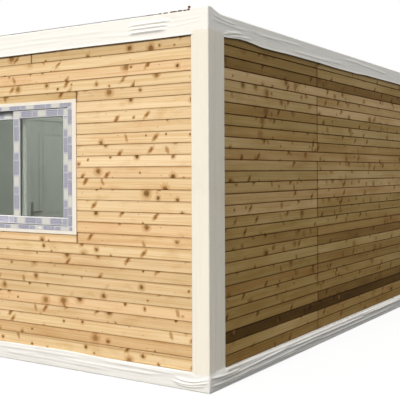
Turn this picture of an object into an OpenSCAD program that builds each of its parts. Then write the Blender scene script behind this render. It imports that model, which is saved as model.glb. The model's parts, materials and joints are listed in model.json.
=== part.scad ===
// Timber-clad container cabin: a folded steel corner-post frame with sandwich wall panels,
// pine boarding outside, a two-track sliding window in each end and a door in one long side.
// +Z is up and -Y is the window end. The origin is on the ground, under the middle of the cabin.
// Lengths are in millimetres.

/* [Overall size] */
// Width over the steel frame, across the window end
cabin_width = 2990; // [2800:10:3600]
// Length over the steel frame
cabin_length = 6055; // [4500:5:9000]
// Height from the ground to the top of the corner blocks
cabin_height = 2800; // [2600:10:3400]

/* [Steel frame] */
// Face of a corner post on the window end
post_end_face = 145; // [120:1:200]
// Face of a corner post on the long side
post_side_face = 222; // [150:1:280]
// Plate of the corner posts
post_plate = 4; // [3:0.5:8]
// Plate of the corner blocks
block_plate = 8; // [5:1:12]
// Height of the bottom rails, and of the bottom corner blocks
bottom_rail_height = 138; // [110:1:200]
// Height of the top corner blocks, with the rim at their end
top_block_height = 180; // [160:1:260]
// Depth of the raised rim of a top corner block, from the window end
block_rim = 45; // [30:1:80]
// How far the end rails stop short of the top of the corner blocks
end_rail_drop = 18; // [0:1:40]
// How far the side rails stop short of the top of the corner blocks
side_rail_drop = 36; // [0:1:40]
// Depth of a rail, from its outer face to the edges of its flanges
rail_depth = 80; // [60:1:100]
// Plate of the rails
rail_plate = 4; // [3:0.5:8]

/* [Floor and roof] */
// Thickness of the floor deck
deck_thickness = 20; // [15:1:30]
// Height of a floor joist
joist_height = 98; // [50:1:100]
// Width of a floor joist
joist_width = 60; // [40:1:100]
// Number of floor joists
joist_count = 11; // [8:1:17]
// Thickness of the ceiling panel
ceiling_thickness = 20; // [10:1:40]
// Height of a roof beam
roof_beam_height = 100; // [60:1:110]
// Width of a roof beam
roof_beam_width = 50; // [40:1:80]
// Number of roof beams
roof_beam_count = 11; // [8:1:17]
// Wall of the joists and the roof beams
tube_wall = 3; // [2:0.5:5]
// Height of a rib in the roof sheet
rib_height = 28; // [15:1:30]
// Distance between the ribs of the roof sheet
rib_pitch = 250; // [180:5:400]
// Width of a rib at its top
rib_top = 60; // [40:1:80]
// Width of each sloping side of a rib
rib_slope = 30; // [15:1:40]
// Thickness of the roof sheet
roof_sheet = 2; // [1:0.5:4]

/* [Walls] */
// How far the boarding lies behind the face of the steel frame
boarding_recess = 10; // [4:1:20]
// Thickness of the boarding
boarding_thickness = 20; // [12:1:28]
// Thickness of the sandwich panel behind the boarding
panel_thickness = 75; // [50:1:100]

/* [Windows] */
// Width of a window over its frame
window_width = 1280; // [800:5:1400]
// Height of a window over its frame
window_height = 1048; // [700:2:1200]
// Distance from the cabin's corner to the window frame
window_inset = 1301; // [400:1:1320]
// Height of the window frame's underside above the ground
window_sill = 1122; // [700:1:1300]
// Depth of the window frame, through the wall
window_depth = 110; // [106:1:160]
// Face of the window frame's two sides
frame_side_face = 50; // [30:1:60]
// Face of the window frame's head and foot
frame_rail_face = 38; // [30:1:60]
// Face of a sash's outer stile
sash_side_face = 52; // [40:1:80]
// Face of a sash's head and foot
sash_rail_face = 60; // [40:1:80]
// Face of the two stiles that meet
meeting_face = 68; // [40:1:90]
// Depth of a sash, through the wall
sash_depth = 40; // [25:1:46]
// Height of the track ribs that carry the sashes
track_height = 7; // [4:1:15]
// Width of the track ribs
track_width = 8; // [4:1:15]
// Space between the frame's outer face and the outer sash, and between the two sashes
sash_space = 8; // [4:1:9]
// Thickness of the glass
glass_thickness = 6; // [4:1:12]
// Width of the flat trim beside a window
trim_side_width = 40; // [15:1:60]
// Width of the flat trim over and under a window
trim_rail_width = 25; // [15:1:60]

/* [Door] */
// Width of the door over its frame
door_width = 940; // [700:5:1200]
// Height of the door over its frame
door_height = 2075; // [1900:5:2200]
// Distance from the window end of the cabin to the door frame
door_inset = 1060; // [400:5:2500]
// Face of the door frame
door_frame_face = 50; // [30:1:80]
// Thickness of the door leaf
leaf_thickness = 50; // [35:1:55]
// Gap between the leaf and its frame
leaf_gap = 3; // [2:0.5:6]
// How far the stop laps behind the leaf
stop_lap = 12; // [6:1:20]
// Depth of the stop, through the wall
stop_depth = 10; // [6:1:15]
// Height of the lever above the foot of the door
lever_height = 1050; // [900:5:1200]
// Length of the lever
lever_length = 125; // [90:1:160]
// Diameter of the lever and of its neck
lever_diameter = 18; // [12:1:22]
// Length of the neck between the lever and its plate
neck_length = 22; // [15:1:30]
// Width of the lever plate
plate_width = 36; // [25:1:45]
// Height of the lever plate
plate_height = 210; // [120:1:260]
// Thickness of the lever plate
plate_thickness = 6; // [3:1:8]

/* [Protective film] */
// Thickness of the film wrapped round the frame
film_thickness = 2; // [1:0.5:4]
// How far the film folds over the top of a rail
film_fold = 70; // [20:1:80]
// How far the film hangs from a top rail over the boarding
film_hang = 18; // [2:1:30]
// How far the film on a bottom rail laps up onto the boarding
film_lap = 6; // [2:1:20]
// Clearance between the film and the ground
film_ground_gap = 6; // [3:1:20]

/* [Hidden] */

// A cut runs this far past the face that it opens
through = 1;
$fn = 48;

half_width = cabin_width / 2;
half_length = cabin_length / 2;
wall_top = cabin_height - top_block_height;
wall_height = wall_top - bottom_rail_height;
end_rail_top = cabin_height - end_rail_drop;
side_rail_top = cabin_height - side_rail_drop;
end_wall_width = cabin_width - 2 * post_end_face;
side_wall_width = cabin_length - 2 * post_side_face;
panel_face = boarding_recess + boarding_thickness;
wall_depth = panel_face + panel_thickness;

deck_underside = bottom_rail_height - deck_thickness;
joist_reach = half_length - post_side_face - joist_width;
roof_beam_reach = half_length - post_side_face - roof_beam_width;
roof_level = wall_top + roof_beam_height;

FRONT = 0;
RIGHT = 90;
BACK = 180;
LEFT = 270;

window_centre = half_width - window_inset - window_width / 2;
window_opening_width = window_width - 2 * frame_side_face;
window_opening_height = window_height - 2 * frame_rail_face;
sash_width = window_opening_width / 2 + meeting_face / 2;
sash_height = window_opening_height - 2 * track_height;
outer_sash_face = sash_space;
inner_sash_face = outer_sash_face + sash_depth + sash_space;

door_centre = half_length - door_inset - door_width / 2;
door_opening_width = door_width - 2 * door_frame_face;
door_opening_height = door_height - 2 * door_frame_face;
leaf_back = wall_depth - stop_depth;
leaf_front = leaf_back - leaf_thickness;
lever_place = door_opening_width / 2 - leaf_gap - plate_width;

// Puts its children on a wall: x runs along the wall, y goes inwards from the frame's outer face.
module on_wall(side) {
    half = (side == FRONT || side == BACK) ? half_length : half_width;
    rotate(side) translate([0, -half, 0]) children();
}

// Puts its children at a corner of the cabin: x and y go inwards from the corner.
module at_corner(x_sign, y_sign) {
    translate([x_sign * half_width, y_sign * half_length, 0])
        mirror([x_sign > 0 ? 1 : 0, 0, 0])
            mirror([0, y_sign > 0 ? 1 : 0, 0])
                children();
}

module at_all_corners() {
    for (x_sign = [-1, 1], y_sign = [-1, 1]) at_corner(x_sign, y_sign) children();
}

// A box whose x is centred, from depth y and height z.
module slab(width, y, depth, z, height) {
    translate([-width / 2, y, z]) cube([width, depth, height]);
}

// A four-sided ring that stands in a wall, with its opening centred across it.
module ring(width, height, side_face, rail_face, y, depth) {
    difference() {
        slab(width, y, depth, 0, height);
        slab(
            width - 2 * side_face, y - through, depth + 2 * through,
            rail_face, height - 2 * rail_face
        );
    }
}

// A channel along x, with its web outside and its flanges pointing inwards.
module channel(length, height) {
    difference() {
        slab(length, 0, rail_depth, 0, height);
        slab(length + 2 * through, rail_plate, rail_depth, rail_plate, height - 2 * rail_plate);
    }
}

// The outline of a corner post, drawn in by an inset.
module post_outline(inset) {
    polygon([
        [inset, inset],
        [post_end_face - inset, inset],
        [post_end_face - inset, wall_depth - inset],
        [wall_depth - inset, wall_depth - inset],
        [wall_depth - inset, post_side_face - inset],
        [inset, post_side_face - inset]
    ]);
}

module corner_post(x_sign, y_sign) {
    color("whitesmoke")
        at_corner(x_sign, y_sign)
            translate([0, 0, bottom_rail_height])
                linear_extrude(wall_height)
                    difference() {
                        post_outline(0);
                        post_outline(post_plate);
                    }
}

// A corner block is a plate box that is open on its two inner sides.
module corner_block(height) {
    difference() {
        cube([post_end_face, post_side_face, height]);
        translate([block_plate, block_plate, block_plate])
            cube([post_end_face, post_side_face, height - 2 * block_plate]);
    }
}

// The rim stands on a top corner block, along its end face.
module top_corner_blocks() {
    color("whitesmoke")
        at_all_corners() {
            translate([0, 0, wall_top]) corner_block(side_rail_top - wall_top);
            translate([0, 0, side_rail_top]) cube([post_end_face, block_rim, side_rail_drop]);
        }
}

module bottom_corner_blocks() {
    color("whitesmoke") at_all_corners() corner_block(bottom_rail_height);
}

module end_top_rail(side) {
    color("whitesmoke")
        on_wall(side) translate([0, 0, wall_top]) channel(end_wall_width, end_rail_top - wall_top);
}

module side_top_rail(side) {
    color("whitesmoke")
        on_wall(side) translate([0, 0, wall_top]) channel(side_wall_width, side_rail_top - wall_top);
}

module bottom_rail(side, length) {
    color("whitesmoke") on_wall(side) channel(length, bottom_rail_height);
}

// A hollow section across the cabin, open at both ends.
module cross_tube(length, width, height) {
    translate([-length / 2, -width / 2, 0])
        difference() {
            cube([length, width, height]);
            translate([-through, tube_wall, tube_wall])
                cube([length + 2 * through, width - 2 * tube_wall, height - 2 * tube_wall]);
        }
}

// Spreads its children evenly along y, from minus reach to reach.
module spread(count, reach) {
    for (i = [0 : count - 1]) translate([0, (2 * i / (count - 1) - 1) * reach, 0]) children();
}

module floor_joists() {
    color("silver")
        translate([0, 0, deck_underside - joist_height])
            spread(joist_count, joist_reach)
                cross_tube(cabin_width - 2 * rail_plate, joist_width, joist_height);
}

module roof_beams() {
    color("silver")
        translate([0, 0, wall_top])
            spread(roof_beam_count, roof_beam_reach)
                cross_tube(cabin_width - 2 * rail_depth, roof_beam_width, roof_beam_height);
}

// A sheet across the whole cabin, notched round the corner blocks.
module notched_at_corners() {
    difference() {
        children();
        at_all_corners()
            translate([-through, -through, -through])
                cube([post_end_face + through, post_side_face + through, cabin_height + 2 * through]);
    }
}

module floor_deck() {
    color("dimgray")
        notched_at_corners()
            translate([rail_depth - half_width, rail_depth - half_length, deck_underside])
                cube([cabin_width - 2 * rail_depth, cabin_length - 2 * rail_depth, deck_thickness]);
}

module ceiling_panel() {
    color("white")
        translate([wall_depth - half_width, wall_depth - half_length, wall_top - ceiling_thickness])
            cube([cabin_width - 2 * wall_depth, cabin_length - 2 * wall_depth, ceiling_thickness]);
}

rib_count = floor((side_wall_width - rib_pitch) / rib_pitch);
rib_foot = rib_top / 2 + rib_slope;

// One face of the roof sheet, as points along y and up z.
function roof_line(level) = concat(
    [[rail_plate - half_length, level]],
    [for (i = [0 : rib_count - 1], point = rib_points((i - (rib_count - 1) / 2) * rib_pitch, level)) point],
    [[half_length - rail_plate, level]]
);

function rib_points(y, level) = [
    [y - rib_foot, level],
    [y - rib_top / 2, level + rib_height],
    [y + rib_top / 2, level + rib_height],
    [y + rib_foot, level]
];

function reversed(points) = [for (i = [len(points) - 1 : -1 : 0]) points[i]];

module roof_sheeting() {
    length = cabin_width - 2 * rail_plate;
    color("lightgray")
        notched_at_corners()
            translate([-length / 2, 0, 0])
                rotate([90, 0, 90])
                    linear_extrude(length)
                        polygon(concat(
                            roof_line(roof_level),
                            reversed(roof_line(roof_level + roof_sheet))
                        ));
}

// A wall layer between two posts, with the holes that its children fill.
module wall_layer(side, width, y, depth) {
    on_wall(side)
        difference() {
            slab(width, y, depth, bottom_rail_height, wall_height);
            children();
        }
}

module window_hole(place) {
    translate([place, 0, window_sill])
        slab(window_width, -through, wall_depth + 2 * through, 0, window_height);
}

module door_hole() {
    translate([door_centre, 0, bottom_rail_height - through])
        slab(door_width, -through, wall_depth + 2 * through, 0, door_height + through);
}

// The two ends mirror each other, so the window in the back wall takes the opposite place.
module end_wall_layer(side, y, depth) {
    wall_layer(side, end_wall_width, y, depth)
        window_hole(side == FRONT ? window_centre : -window_centre);
}

module boarding_end(side) {
    color("burlywood") end_wall_layer(side, boarding_recess, boarding_thickness);
}

module boarding_right() {
    color("burlywood") wall_layer(RIGHT, side_wall_width, boarding_recess, boarding_thickness);
}

module boarding_left() {
    color("burlywood")
        wall_layer(LEFT, side_wall_width, boarding_recess, boarding_thickness) door_hole();
}

module wall_panel_end(side) {
    color("white") end_wall_layer(side, panel_face, panel_thickness);
}

module wall_panel_right() {
    color("white") wall_layer(RIGHT, side_wall_width, panel_face, panel_thickness);
}

module wall_panel_left() {
    color("white")
        wall_layer(LEFT, side_wall_width, panel_face, panel_thickness) door_hole();
}

// An angle of film round the outside of a corner, from one height to another.
module film_angle(low, high, side_face) {
    translate([0, 0, low])
        linear_extrude(high - low)
            polygon([
                [-film_thickness, -film_thickness],
                [post_end_face, -film_thickness],
                [post_end_face, 0],
                [0, 0],
                [0, side_face],
                [-film_thickness, side_face]
            ]);
}

// A flat piece of film on top of a corner block, between two distances from the end.
module film_cap(from, to, z) {
    translate([-film_thickness, from, z])
        cube([post_end_face + film_thickness, to - from, film_thickness]);
}

module post_film() {
    low = bottom_rail_height + film_lap;
    high = wall_top - film_hang;
    color("ivory") at_all_corners() film_angle(low, high, post_side_face);
}

// The film on a top rail hangs down its face and folds over its top.
module rail_film(side, length, rail_top) {
    low = wall_top - film_hang;
    on_wall(side) {
        slab(length, -film_thickness, film_thickness, low, rail_top + film_thickness - low);
        slab(length, -film_thickness, film_thickness + film_fold, rail_top, film_thickness);
    }
}

module top_rail_film() {
    low = wall_top - film_hang;
    color("ivory") {
        for (side = [FRONT, BACK]) rail_film(side, end_wall_width, end_rail_top);
        for (side = [RIGHT, LEFT]) rail_film(side, side_wall_width, side_rail_top);
        at_all_corners() {
            film_angle(low, side_rail_top, post_side_face);
            film_angle(side_rail_top, cabin_height, block_rim);
            film_cap(-film_thickness, block_rim, cabin_height);
            film_cap(block_rim, post_side_face, side_rail_top);
        }
    }
}

module bottom_rail_film() {
    height = bottom_rail_height + film_lap - film_ground_gap;
    color("ivory")
        translate([-half_width, -half_length, film_ground_gap])
            difference() {
                translate([-film_thickness, -film_thickness, 0])
                    cube([
                        cabin_width + 2 * film_thickness,
                        cabin_length + 2 * film_thickness,
                        height
                    ]);
                translate([0, 0, -through])
                    cube([cabin_width, cabin_length, height + 2 * through]);
            }
}

// Puts its children at the foot of an end wall's window, on the frame's outer face.
module at_window(side) {
    on_wall(side)
        translate([side == FRONT ? window_centre : -window_centre, 0, window_sill]) children();
}

// The two ribs that carry and guide the sash whose outer face is at y.
module tracks(y) {
    place = y + (sash_depth - track_width) / 2;
    for (z = [frame_rail_face, window_height - frame_rail_face - track_height])
        slab(window_opening_width, place, track_width, z, track_height);
}

module window_frame(side) {
    color("white")
        at_window(side) {
            ring(
                window_width, window_height, frame_side_face, frame_rail_face,
                0, window_depth
            );
            tracks(outer_sash_face);
            tracks(inner_sash_face);
        }
}

module window_trim(side) {
    color("ivory")
        at_window(side)
            difference() {
                slab(
                    window_width + 2 * trim_side_width, 0, boarding_recess,
                    -trim_rail_width, window_height + 2 * trim_rail_width
                );
                slab(window_width, -through, boarding_recess + 2 * through, 0, window_height);
            }
}

glass_width = sash_width - sash_side_face - meeting_face;
glass_height = sash_height - 2 * sash_rail_face;

// One sash as seen from outside: hand is 1 for the outer sash, whose jamb is on the right.
module at_sash(side, hand) {
    at_window(side)
        translate([
            hand * (window_opening_width - sash_width) / 2,
            hand > 0 ? outer_sash_face : inner_sash_face,
            frame_rail_face + track_height
        ])
            children();
}

// The middle of the glass lies off the middle of the sash, because its two stiles differ.
module glazed_area(hand, y, depth) {
    translate([hand * (meeting_face - sash_side_face) / 2, 0, sash_rail_face])
        slab(glass_width, y, depth, 0, glass_height);
}

module sash(side, hand) {
    color("white")
        at_sash(side, hand)
            difference() {
                slab(sash_width, 0, sash_depth, 0, sash_height);
                glazed_area(hand, -through, sash_depth + 2 * through);
            }
}

module glass(side, hand) {
    color("lightblue", 0.35)
        at_sash(side, hand)
            glazed_area(hand, (sash_depth - glass_thickness) / 2, glass_thickness);
}

// Puts its children at the foot of the door, on the frame's outer face.
module at_door() {
    on_wall(LEFT) translate([door_centre, 0, bottom_rail_height]) children();
}

module door_frame() {
    color("white")
        at_door() {
            ring(
                door_width, door_height, door_frame_face, door_frame_face,
                boarding_recess, wall_depth - boarding_recess
            );
            ring(
                door_width, door_height, door_frame_face + stop_lap, door_frame_face + stop_lap,
                leaf_back, stop_depth
            );
        }
}

module door_leaf() {
    color("white")
        at_door()
            slab(
                door_opening_width - 2 * leaf_gap, leaf_front, leaf_thickness,
                door_frame_face + leaf_gap, door_opening_height - 2 * leaf_gap
            );
}

// A lever handle on a face at y, pointing along outwards: -1 for the outer side, 1 for the inner.
module lever_handle(y, outwards) {
    lever_y = y + outwards * (plate_thickness + neck_length);
    plate_y = outwards > 0 ? y : y - plate_thickness;
    translate([lever_place, 0, lever_height]) {
        slab(plate_width, plate_y, plate_thickness, -plate_height / 2, plate_height);
        translate([0, y + outwards * plate_thickness, 0])
            rotate([-90 * outwards, 0, 0])
                cylinder(d = lever_diameter, h = neck_length);
        translate([lever_diameter / 2, lever_y, 0])
            rotate([0, -90, 0])
                cylinder(d = lever_diameter, h = lever_length);
    }
}

module door_handles() {
    color("silver")
        at_door() {
            lever_handle(leaf_front, -1);
            lever_handle(leaf_back, 1);
        }
}

corner_post(1, -1);  // corner_post_front_right
corner_post(-1, -1);  // corner_post_front_left
corner_post(1, 1);  // corner_post_back_right
corner_post(-1, 1);  // corner_post_back_left
top_corner_blocks();
bottom_corner_blocks();
end_top_rail(FRONT);  // top_rail_front
end_top_rail(BACK);  // top_rail_back
side_top_rail(RIGHT);  // top_rail_right
side_top_rail(LEFT);  // top_rail_left
bottom_rail(FRONT, end_wall_width);  // bottom_rail_front
bottom_rail(BACK, end_wall_width);  // bottom_rail_back
bottom_rail(RIGHT, side_wall_width);  // bottom_rail_right
bottom_rail(LEFT, side_wall_width);  // bottom_rail_left
floor_joists();
floor_deck();
ceiling_panel();
roof_beams();
roof_sheeting();
boarding_end(FRONT);  // boarding_front
boarding_end(BACK);  // boarding_back
boarding_right();
boarding_left();
wall_panel_end(FRONT);  // wall_panel_front
wall_panel_end(BACK);  // wall_panel_back
wall_panel_right();
wall_panel_left();
post_film();
top_rail_film();
bottom_rail_film();
window_frame(FRONT);  // front_window_frame
window_trim(FRONT);  // front_window_trim
sash(FRONT, 1);  // front_window_right_sash
sash(FRONT, -1);  // front_window_left_sash
glass(FRONT, 1);  // front_window_right_glass
glass(FRONT, -1);  // front_window_left_glass
window_frame(BACK);  // back_window_frame
window_trim(BACK);  // back_window_trim
sash(BACK, 1);  // back_window_right_sash
sash(BACK, -1);  // back_window_left_sash
glass(BACK, 1);  // back_window_right_glass
glass(BACK, -1);  // back_window_left_glass
door_frame();
door_leaf();
door_handles();
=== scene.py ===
import json
import math
import random

import bmesh
import bpy
from mathutils import Matrix, Vector, noise

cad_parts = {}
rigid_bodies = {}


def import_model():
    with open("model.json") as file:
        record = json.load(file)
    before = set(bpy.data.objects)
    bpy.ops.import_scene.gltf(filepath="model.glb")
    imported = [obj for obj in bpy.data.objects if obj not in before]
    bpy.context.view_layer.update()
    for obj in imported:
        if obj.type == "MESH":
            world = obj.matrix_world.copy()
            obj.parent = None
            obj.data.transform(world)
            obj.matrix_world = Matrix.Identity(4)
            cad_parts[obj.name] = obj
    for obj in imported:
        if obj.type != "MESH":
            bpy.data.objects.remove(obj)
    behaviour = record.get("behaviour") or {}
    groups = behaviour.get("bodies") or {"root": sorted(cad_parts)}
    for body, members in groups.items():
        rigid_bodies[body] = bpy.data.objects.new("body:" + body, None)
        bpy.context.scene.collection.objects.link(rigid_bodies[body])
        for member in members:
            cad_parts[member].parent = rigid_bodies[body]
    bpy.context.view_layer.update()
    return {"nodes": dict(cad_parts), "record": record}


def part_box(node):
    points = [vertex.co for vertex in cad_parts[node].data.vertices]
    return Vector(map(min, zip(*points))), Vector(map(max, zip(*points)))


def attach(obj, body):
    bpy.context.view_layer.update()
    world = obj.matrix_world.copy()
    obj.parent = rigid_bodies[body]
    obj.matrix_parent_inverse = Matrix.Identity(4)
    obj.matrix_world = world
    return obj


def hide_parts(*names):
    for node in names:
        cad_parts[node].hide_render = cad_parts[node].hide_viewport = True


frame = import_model()
nodes = frame["nodes"]
scene = bpy.context.scene

# The steel frame's outer size, and the levels that everything else is set out from
steel_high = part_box("bottom_corner_blocks")[1]
HALF_WIDTH = steel_high.x
HALF_LENGTH = steel_high.y
RAIL_TOP = steel_high.z
WALL_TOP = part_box("corner_post_front_right")[1].z
END_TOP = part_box("top_rail_front")[1].z
SIDE_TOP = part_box("top_rail_right")[1].z
BLOCK_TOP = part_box("top_corner_blocks")[1].z
POST_END = HALF_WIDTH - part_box("corner_post_front_right")[0].x
POST_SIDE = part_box("corner_post_front_right")[1].y + HALF_LENGTH
BLOCK_RIM = 0.045
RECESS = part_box("boarding_front")[0].y + HALF_LENGTH
BOARD_THICKNESS = 0.020

# Each wall's turn about Z in degrees, and its distance from the middle of the cabin.
# On a wall x runs along it, left to right from outside, y goes inwards and z is up.
WALLS = {
    "front": (0, HALF_LENGTH),
    "right": (90, HALF_WIDTH),
    "back": (180, HALF_LENGTH),
    "left": (270, HALF_WIDTH),
}
ENDS = ("front", "back")
SEEN_WALLS = ("front", "right")  # the camera's side, made more finely
WALL_HALF = {"front": HALF_WIDTH, "right": HALF_LENGTH, "back": HALF_WIDTH, "left": HALF_LENGTH}

# The corners of the cabin, by the signs of x and y
CORNERS = {
    (1, -1): "front_right", (-1, -1): "front_left", (1, 1): "back_right", (-1, 1): "back_left",
}


def wall_matrix(side):
    """Takes a point on a wall to its place in the cabin."""
    turn, distance = WALLS[side]
    return Matrix.Rotation(math.radians(turn), 4, "Z") @ Matrix.Translation((0, -distance, 0))


def wall_box(side, node):
    """A CAD node's lowest and highest corner in its wall's own axes."""
    back = wall_matrix(side).inverted()
    corners = [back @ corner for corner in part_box(node)]
    return (
        Vector([min(a, b) for a, b in zip(*corners)]),
        Vector([max(a, b) for a, b in zip(*corners)]),
    )


def mix(a, b, share):
    return a + (b - a) * share


def clamp(value, low=0.0, high=1.0):
    return max(low, min(high, value))


def smooth(value):
    value = clamp(value)
    return value * value * (3 - 2 * value)


def along_points(points, x):
    """The height at x of a smooth line through (x, height) points."""
    for (x0, z0), (x1, z1) in zip(points, points[1:]):
        if x <= x1:
            return mix(z0, z1, smooth((x - x0) / (x1 - x0)))
    return points[-1][1]


# Node trees


class Value:
    """A node's output that Python's operators work on. Each adds a Math node."""

    def __init__(self, tree, socket):
        self.tree = tree
        self.socket = socket

    def _math(self, operation, first, second):
        return self.tree.add("ShaderNodeMath", {"operation": operation}, [first, second])

    def __add__(self, other):
        return self._math("ADD", self, other)

    def __radd__(self, other):
        return self._math("ADD", other, self)

    def __sub__(self, other):
        return self._math("SUBTRACT", self, other)

    def __mul__(self, other):
        return self._math("MULTIPLY", self, other)

    def __truediv__(self, other):
        return self._math("DIVIDE", self, other)


class Tree:
    """A shader or geometry node tree that grows through one method."""

    def __init__(self, node_tree):
        self.nodes = node_tree.nodes
        self.links = node_tree.links

    def add(self, kind, settings=None, inputs=None, output=0):
        """Adds a node. Its settings come first, then its sockets' values or links."""
        node = self.nodes.new(kind)
        for name, setting in (settings or {}).items():
            if name == "stops":
                ramp = node.color_ramp
                while len(ramp.elements) < len(setting):
                    ramp.elements.new(0.5)
                for element, (place, color) in zip(ramp.elements, setting):
                    element.position = place
                    element.color = (*color, 1.0)
            else:
                setattr(node, name, setting)
        if isinstance(inputs, (list, tuple)):
            inputs = dict(enumerate(inputs))
        for key, value in (inputs or {}).items():
            if isinstance(value, Value):
                self.links.new(value.socket, node.inputs[key])
            else:
                node.inputs[key].default_value = value
        if isinstance(output, tuple):
            return [Value(self, node.outputs[name]) for name in output]
        return Value(self, node.outputs[output]) if len(node.outputs) else None

    def parts(self, vector):
        return self.add("ShaderNodeSeparateXYZ", None, [vector], ("X", "Y", "Z"))

    def vector(self, x, y, z):
        return self.add("ShaderNodeCombineXYZ", None, [x, y, z])

    def place(self, scale=(1, 1, 1)):
        """Object coordinates in metres, stretched by a scale on each axis."""
        where = self.add("ShaderNodeTexCoord", None, None, "Object")
        return self.add("ShaderNodeVectorMath", {"operation": "MULTIPLY"}, [where, scale])

    def noise(self, vector, scale=1.0, detail=3.0, roughness=0.55):
        sizes = {"Vector": vector, "Scale": scale, "Detail": detail, "Roughness": roughness}
        return self.add("ShaderNodeTexNoise", None, sizes, "Fac")

    def remap(self, value, low, high, to_low=0.0, to_high=1.0):
        style = {"interpolation_type": "SMOOTHSTEP", "clamp": True}
        return self.add("ShaderNodeMapRange", style, [value, low, high, to_low, to_high])

    def ramp(self, value, *stops):
        return self.add("ShaderNodeValToRGB", {"stops": stops}, [value])

    def mix(self, factor, a, b, mode="MIX"):
        """Mixes two colours, each three numbers or a link."""
        a, b = [c if isinstance(c, Value) else (*c, 1.0) for c in (a, b)]
        style = {"data_type": "RGBA", "blend_type": mode, "clamp_factor": True}
        return self.add("ShaderNodeMix", style, {0: factor, 6: a, 7: b}, 2)

    def cells(self, vector):
        """Distance to the nearest of the points scattered over a plane, and its own colour."""
        style = {"voronoi_dimensions": "2D", "feature": "F1"}
        sizes = {"Vector": vector, "Scale": 1.0, "Randomness": 1.0}
        return self.add("ShaderNodeTexVoronoi", style, sizes, ("Distance", "Color"))

    def attribute(self, name, output="Fac"):
        style = {"attribute_type": "GEOMETRY", "attribute_name": name}
        return self.add("ShaderNodeAttribute", style, None, output)

    def given(self, name):
        """One of the inputs of the geometry group that the tree belongs to."""
        return self.add("NodeGroupInput", None, None, name)

    def named(self, name, kind="FLOAT"):
        """An attribute that the points carry."""
        return self.add(
            "GeometryNodeInputNamedAttribute", {"data_type": kind}, {"Name": name}, "Attribute"
        )

    def store(self, geometry, name, kind, value):
        """Writes an attribute on every vertex."""
        style = {"data_type": kind, "domain": "POINT"}
        inputs = {"Geometry": geometry, "Name": name, "Value": value}
        return self.add("GeometryNodeStoreNamedAttribute", style, inputs, "Geometry")

    def copies(self, **inputs):
        """A copy of the group's Blank on each of its points, as real geometry."""
        blank = self.add("GeometryNodeObjectInfo", None, {"Object": self.given("Blank")}, "Geometry")
        inputs.update(Points=self.given("Geometry"), Instance=blank)
        stood = self.add("GeometryNodeInstanceOnPoints", None, inputs, "Instances")
        return self.add("GeometryNodeRealizeInstances", None, {"Geometry": stood}, "Geometry")

    def deliver(self, geometry):
        """Ends the group: its output is the geometry in the group's Finish."""
        inputs = {"Geometry": geometry, "Material": self.given("Finish")}
        done = self.add("GeometryNodeSetMaterial", None, inputs, "Geometry")
        self.add("NodeGroupOutput", None, [done])

    def finish(self, color, roughness, relief=None, depth=0.001, **constants):
        """Closes a material with its colour, roughness and relief, and constant sockets."""
        inputs = {"Base Color": color, "Roughness": roughness}
        if relief is not None:
            inputs["Normal"] = self.add(
                "ShaderNodeBump", None, {"Strength": 1.0, "Distance": depth, "Height": relief}
            )
        inputs.update({name.replace("_", " "): value for name, value in constants.items()})
        shader = self.add("ShaderNodeBsdfPrincipled", None, inputs)
        self.add("ShaderNodeOutputMaterial", None, {"Surface": shader})


def new_material(name):
    material = bpy.data.materials.new(name)
    material.use_nodes = True
    material.node_tree.nodes.clear()
    return material, Tree(material.node_tree)


def new_geometry_group(name, **inputs):
    """A geometry node group with a Geometry input and output and further named inputs."""
    group = bpy.data.node_groups.new(name, "GeometryNodeTree")
    group.interface.new_socket("Geometry", in_out="OUTPUT", socket_type="NodeSocketGeometry")
    group.interface.new_socket("Geometry", in_out="INPUT", socket_type="NodeSocketGeometry")
    for label, kind in inputs.items():
        group.interface.new_socket(label, in_out="INPUT", socket_type="NodeSocket" + kind)
    return group, Tree(group)


# Materials


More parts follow.
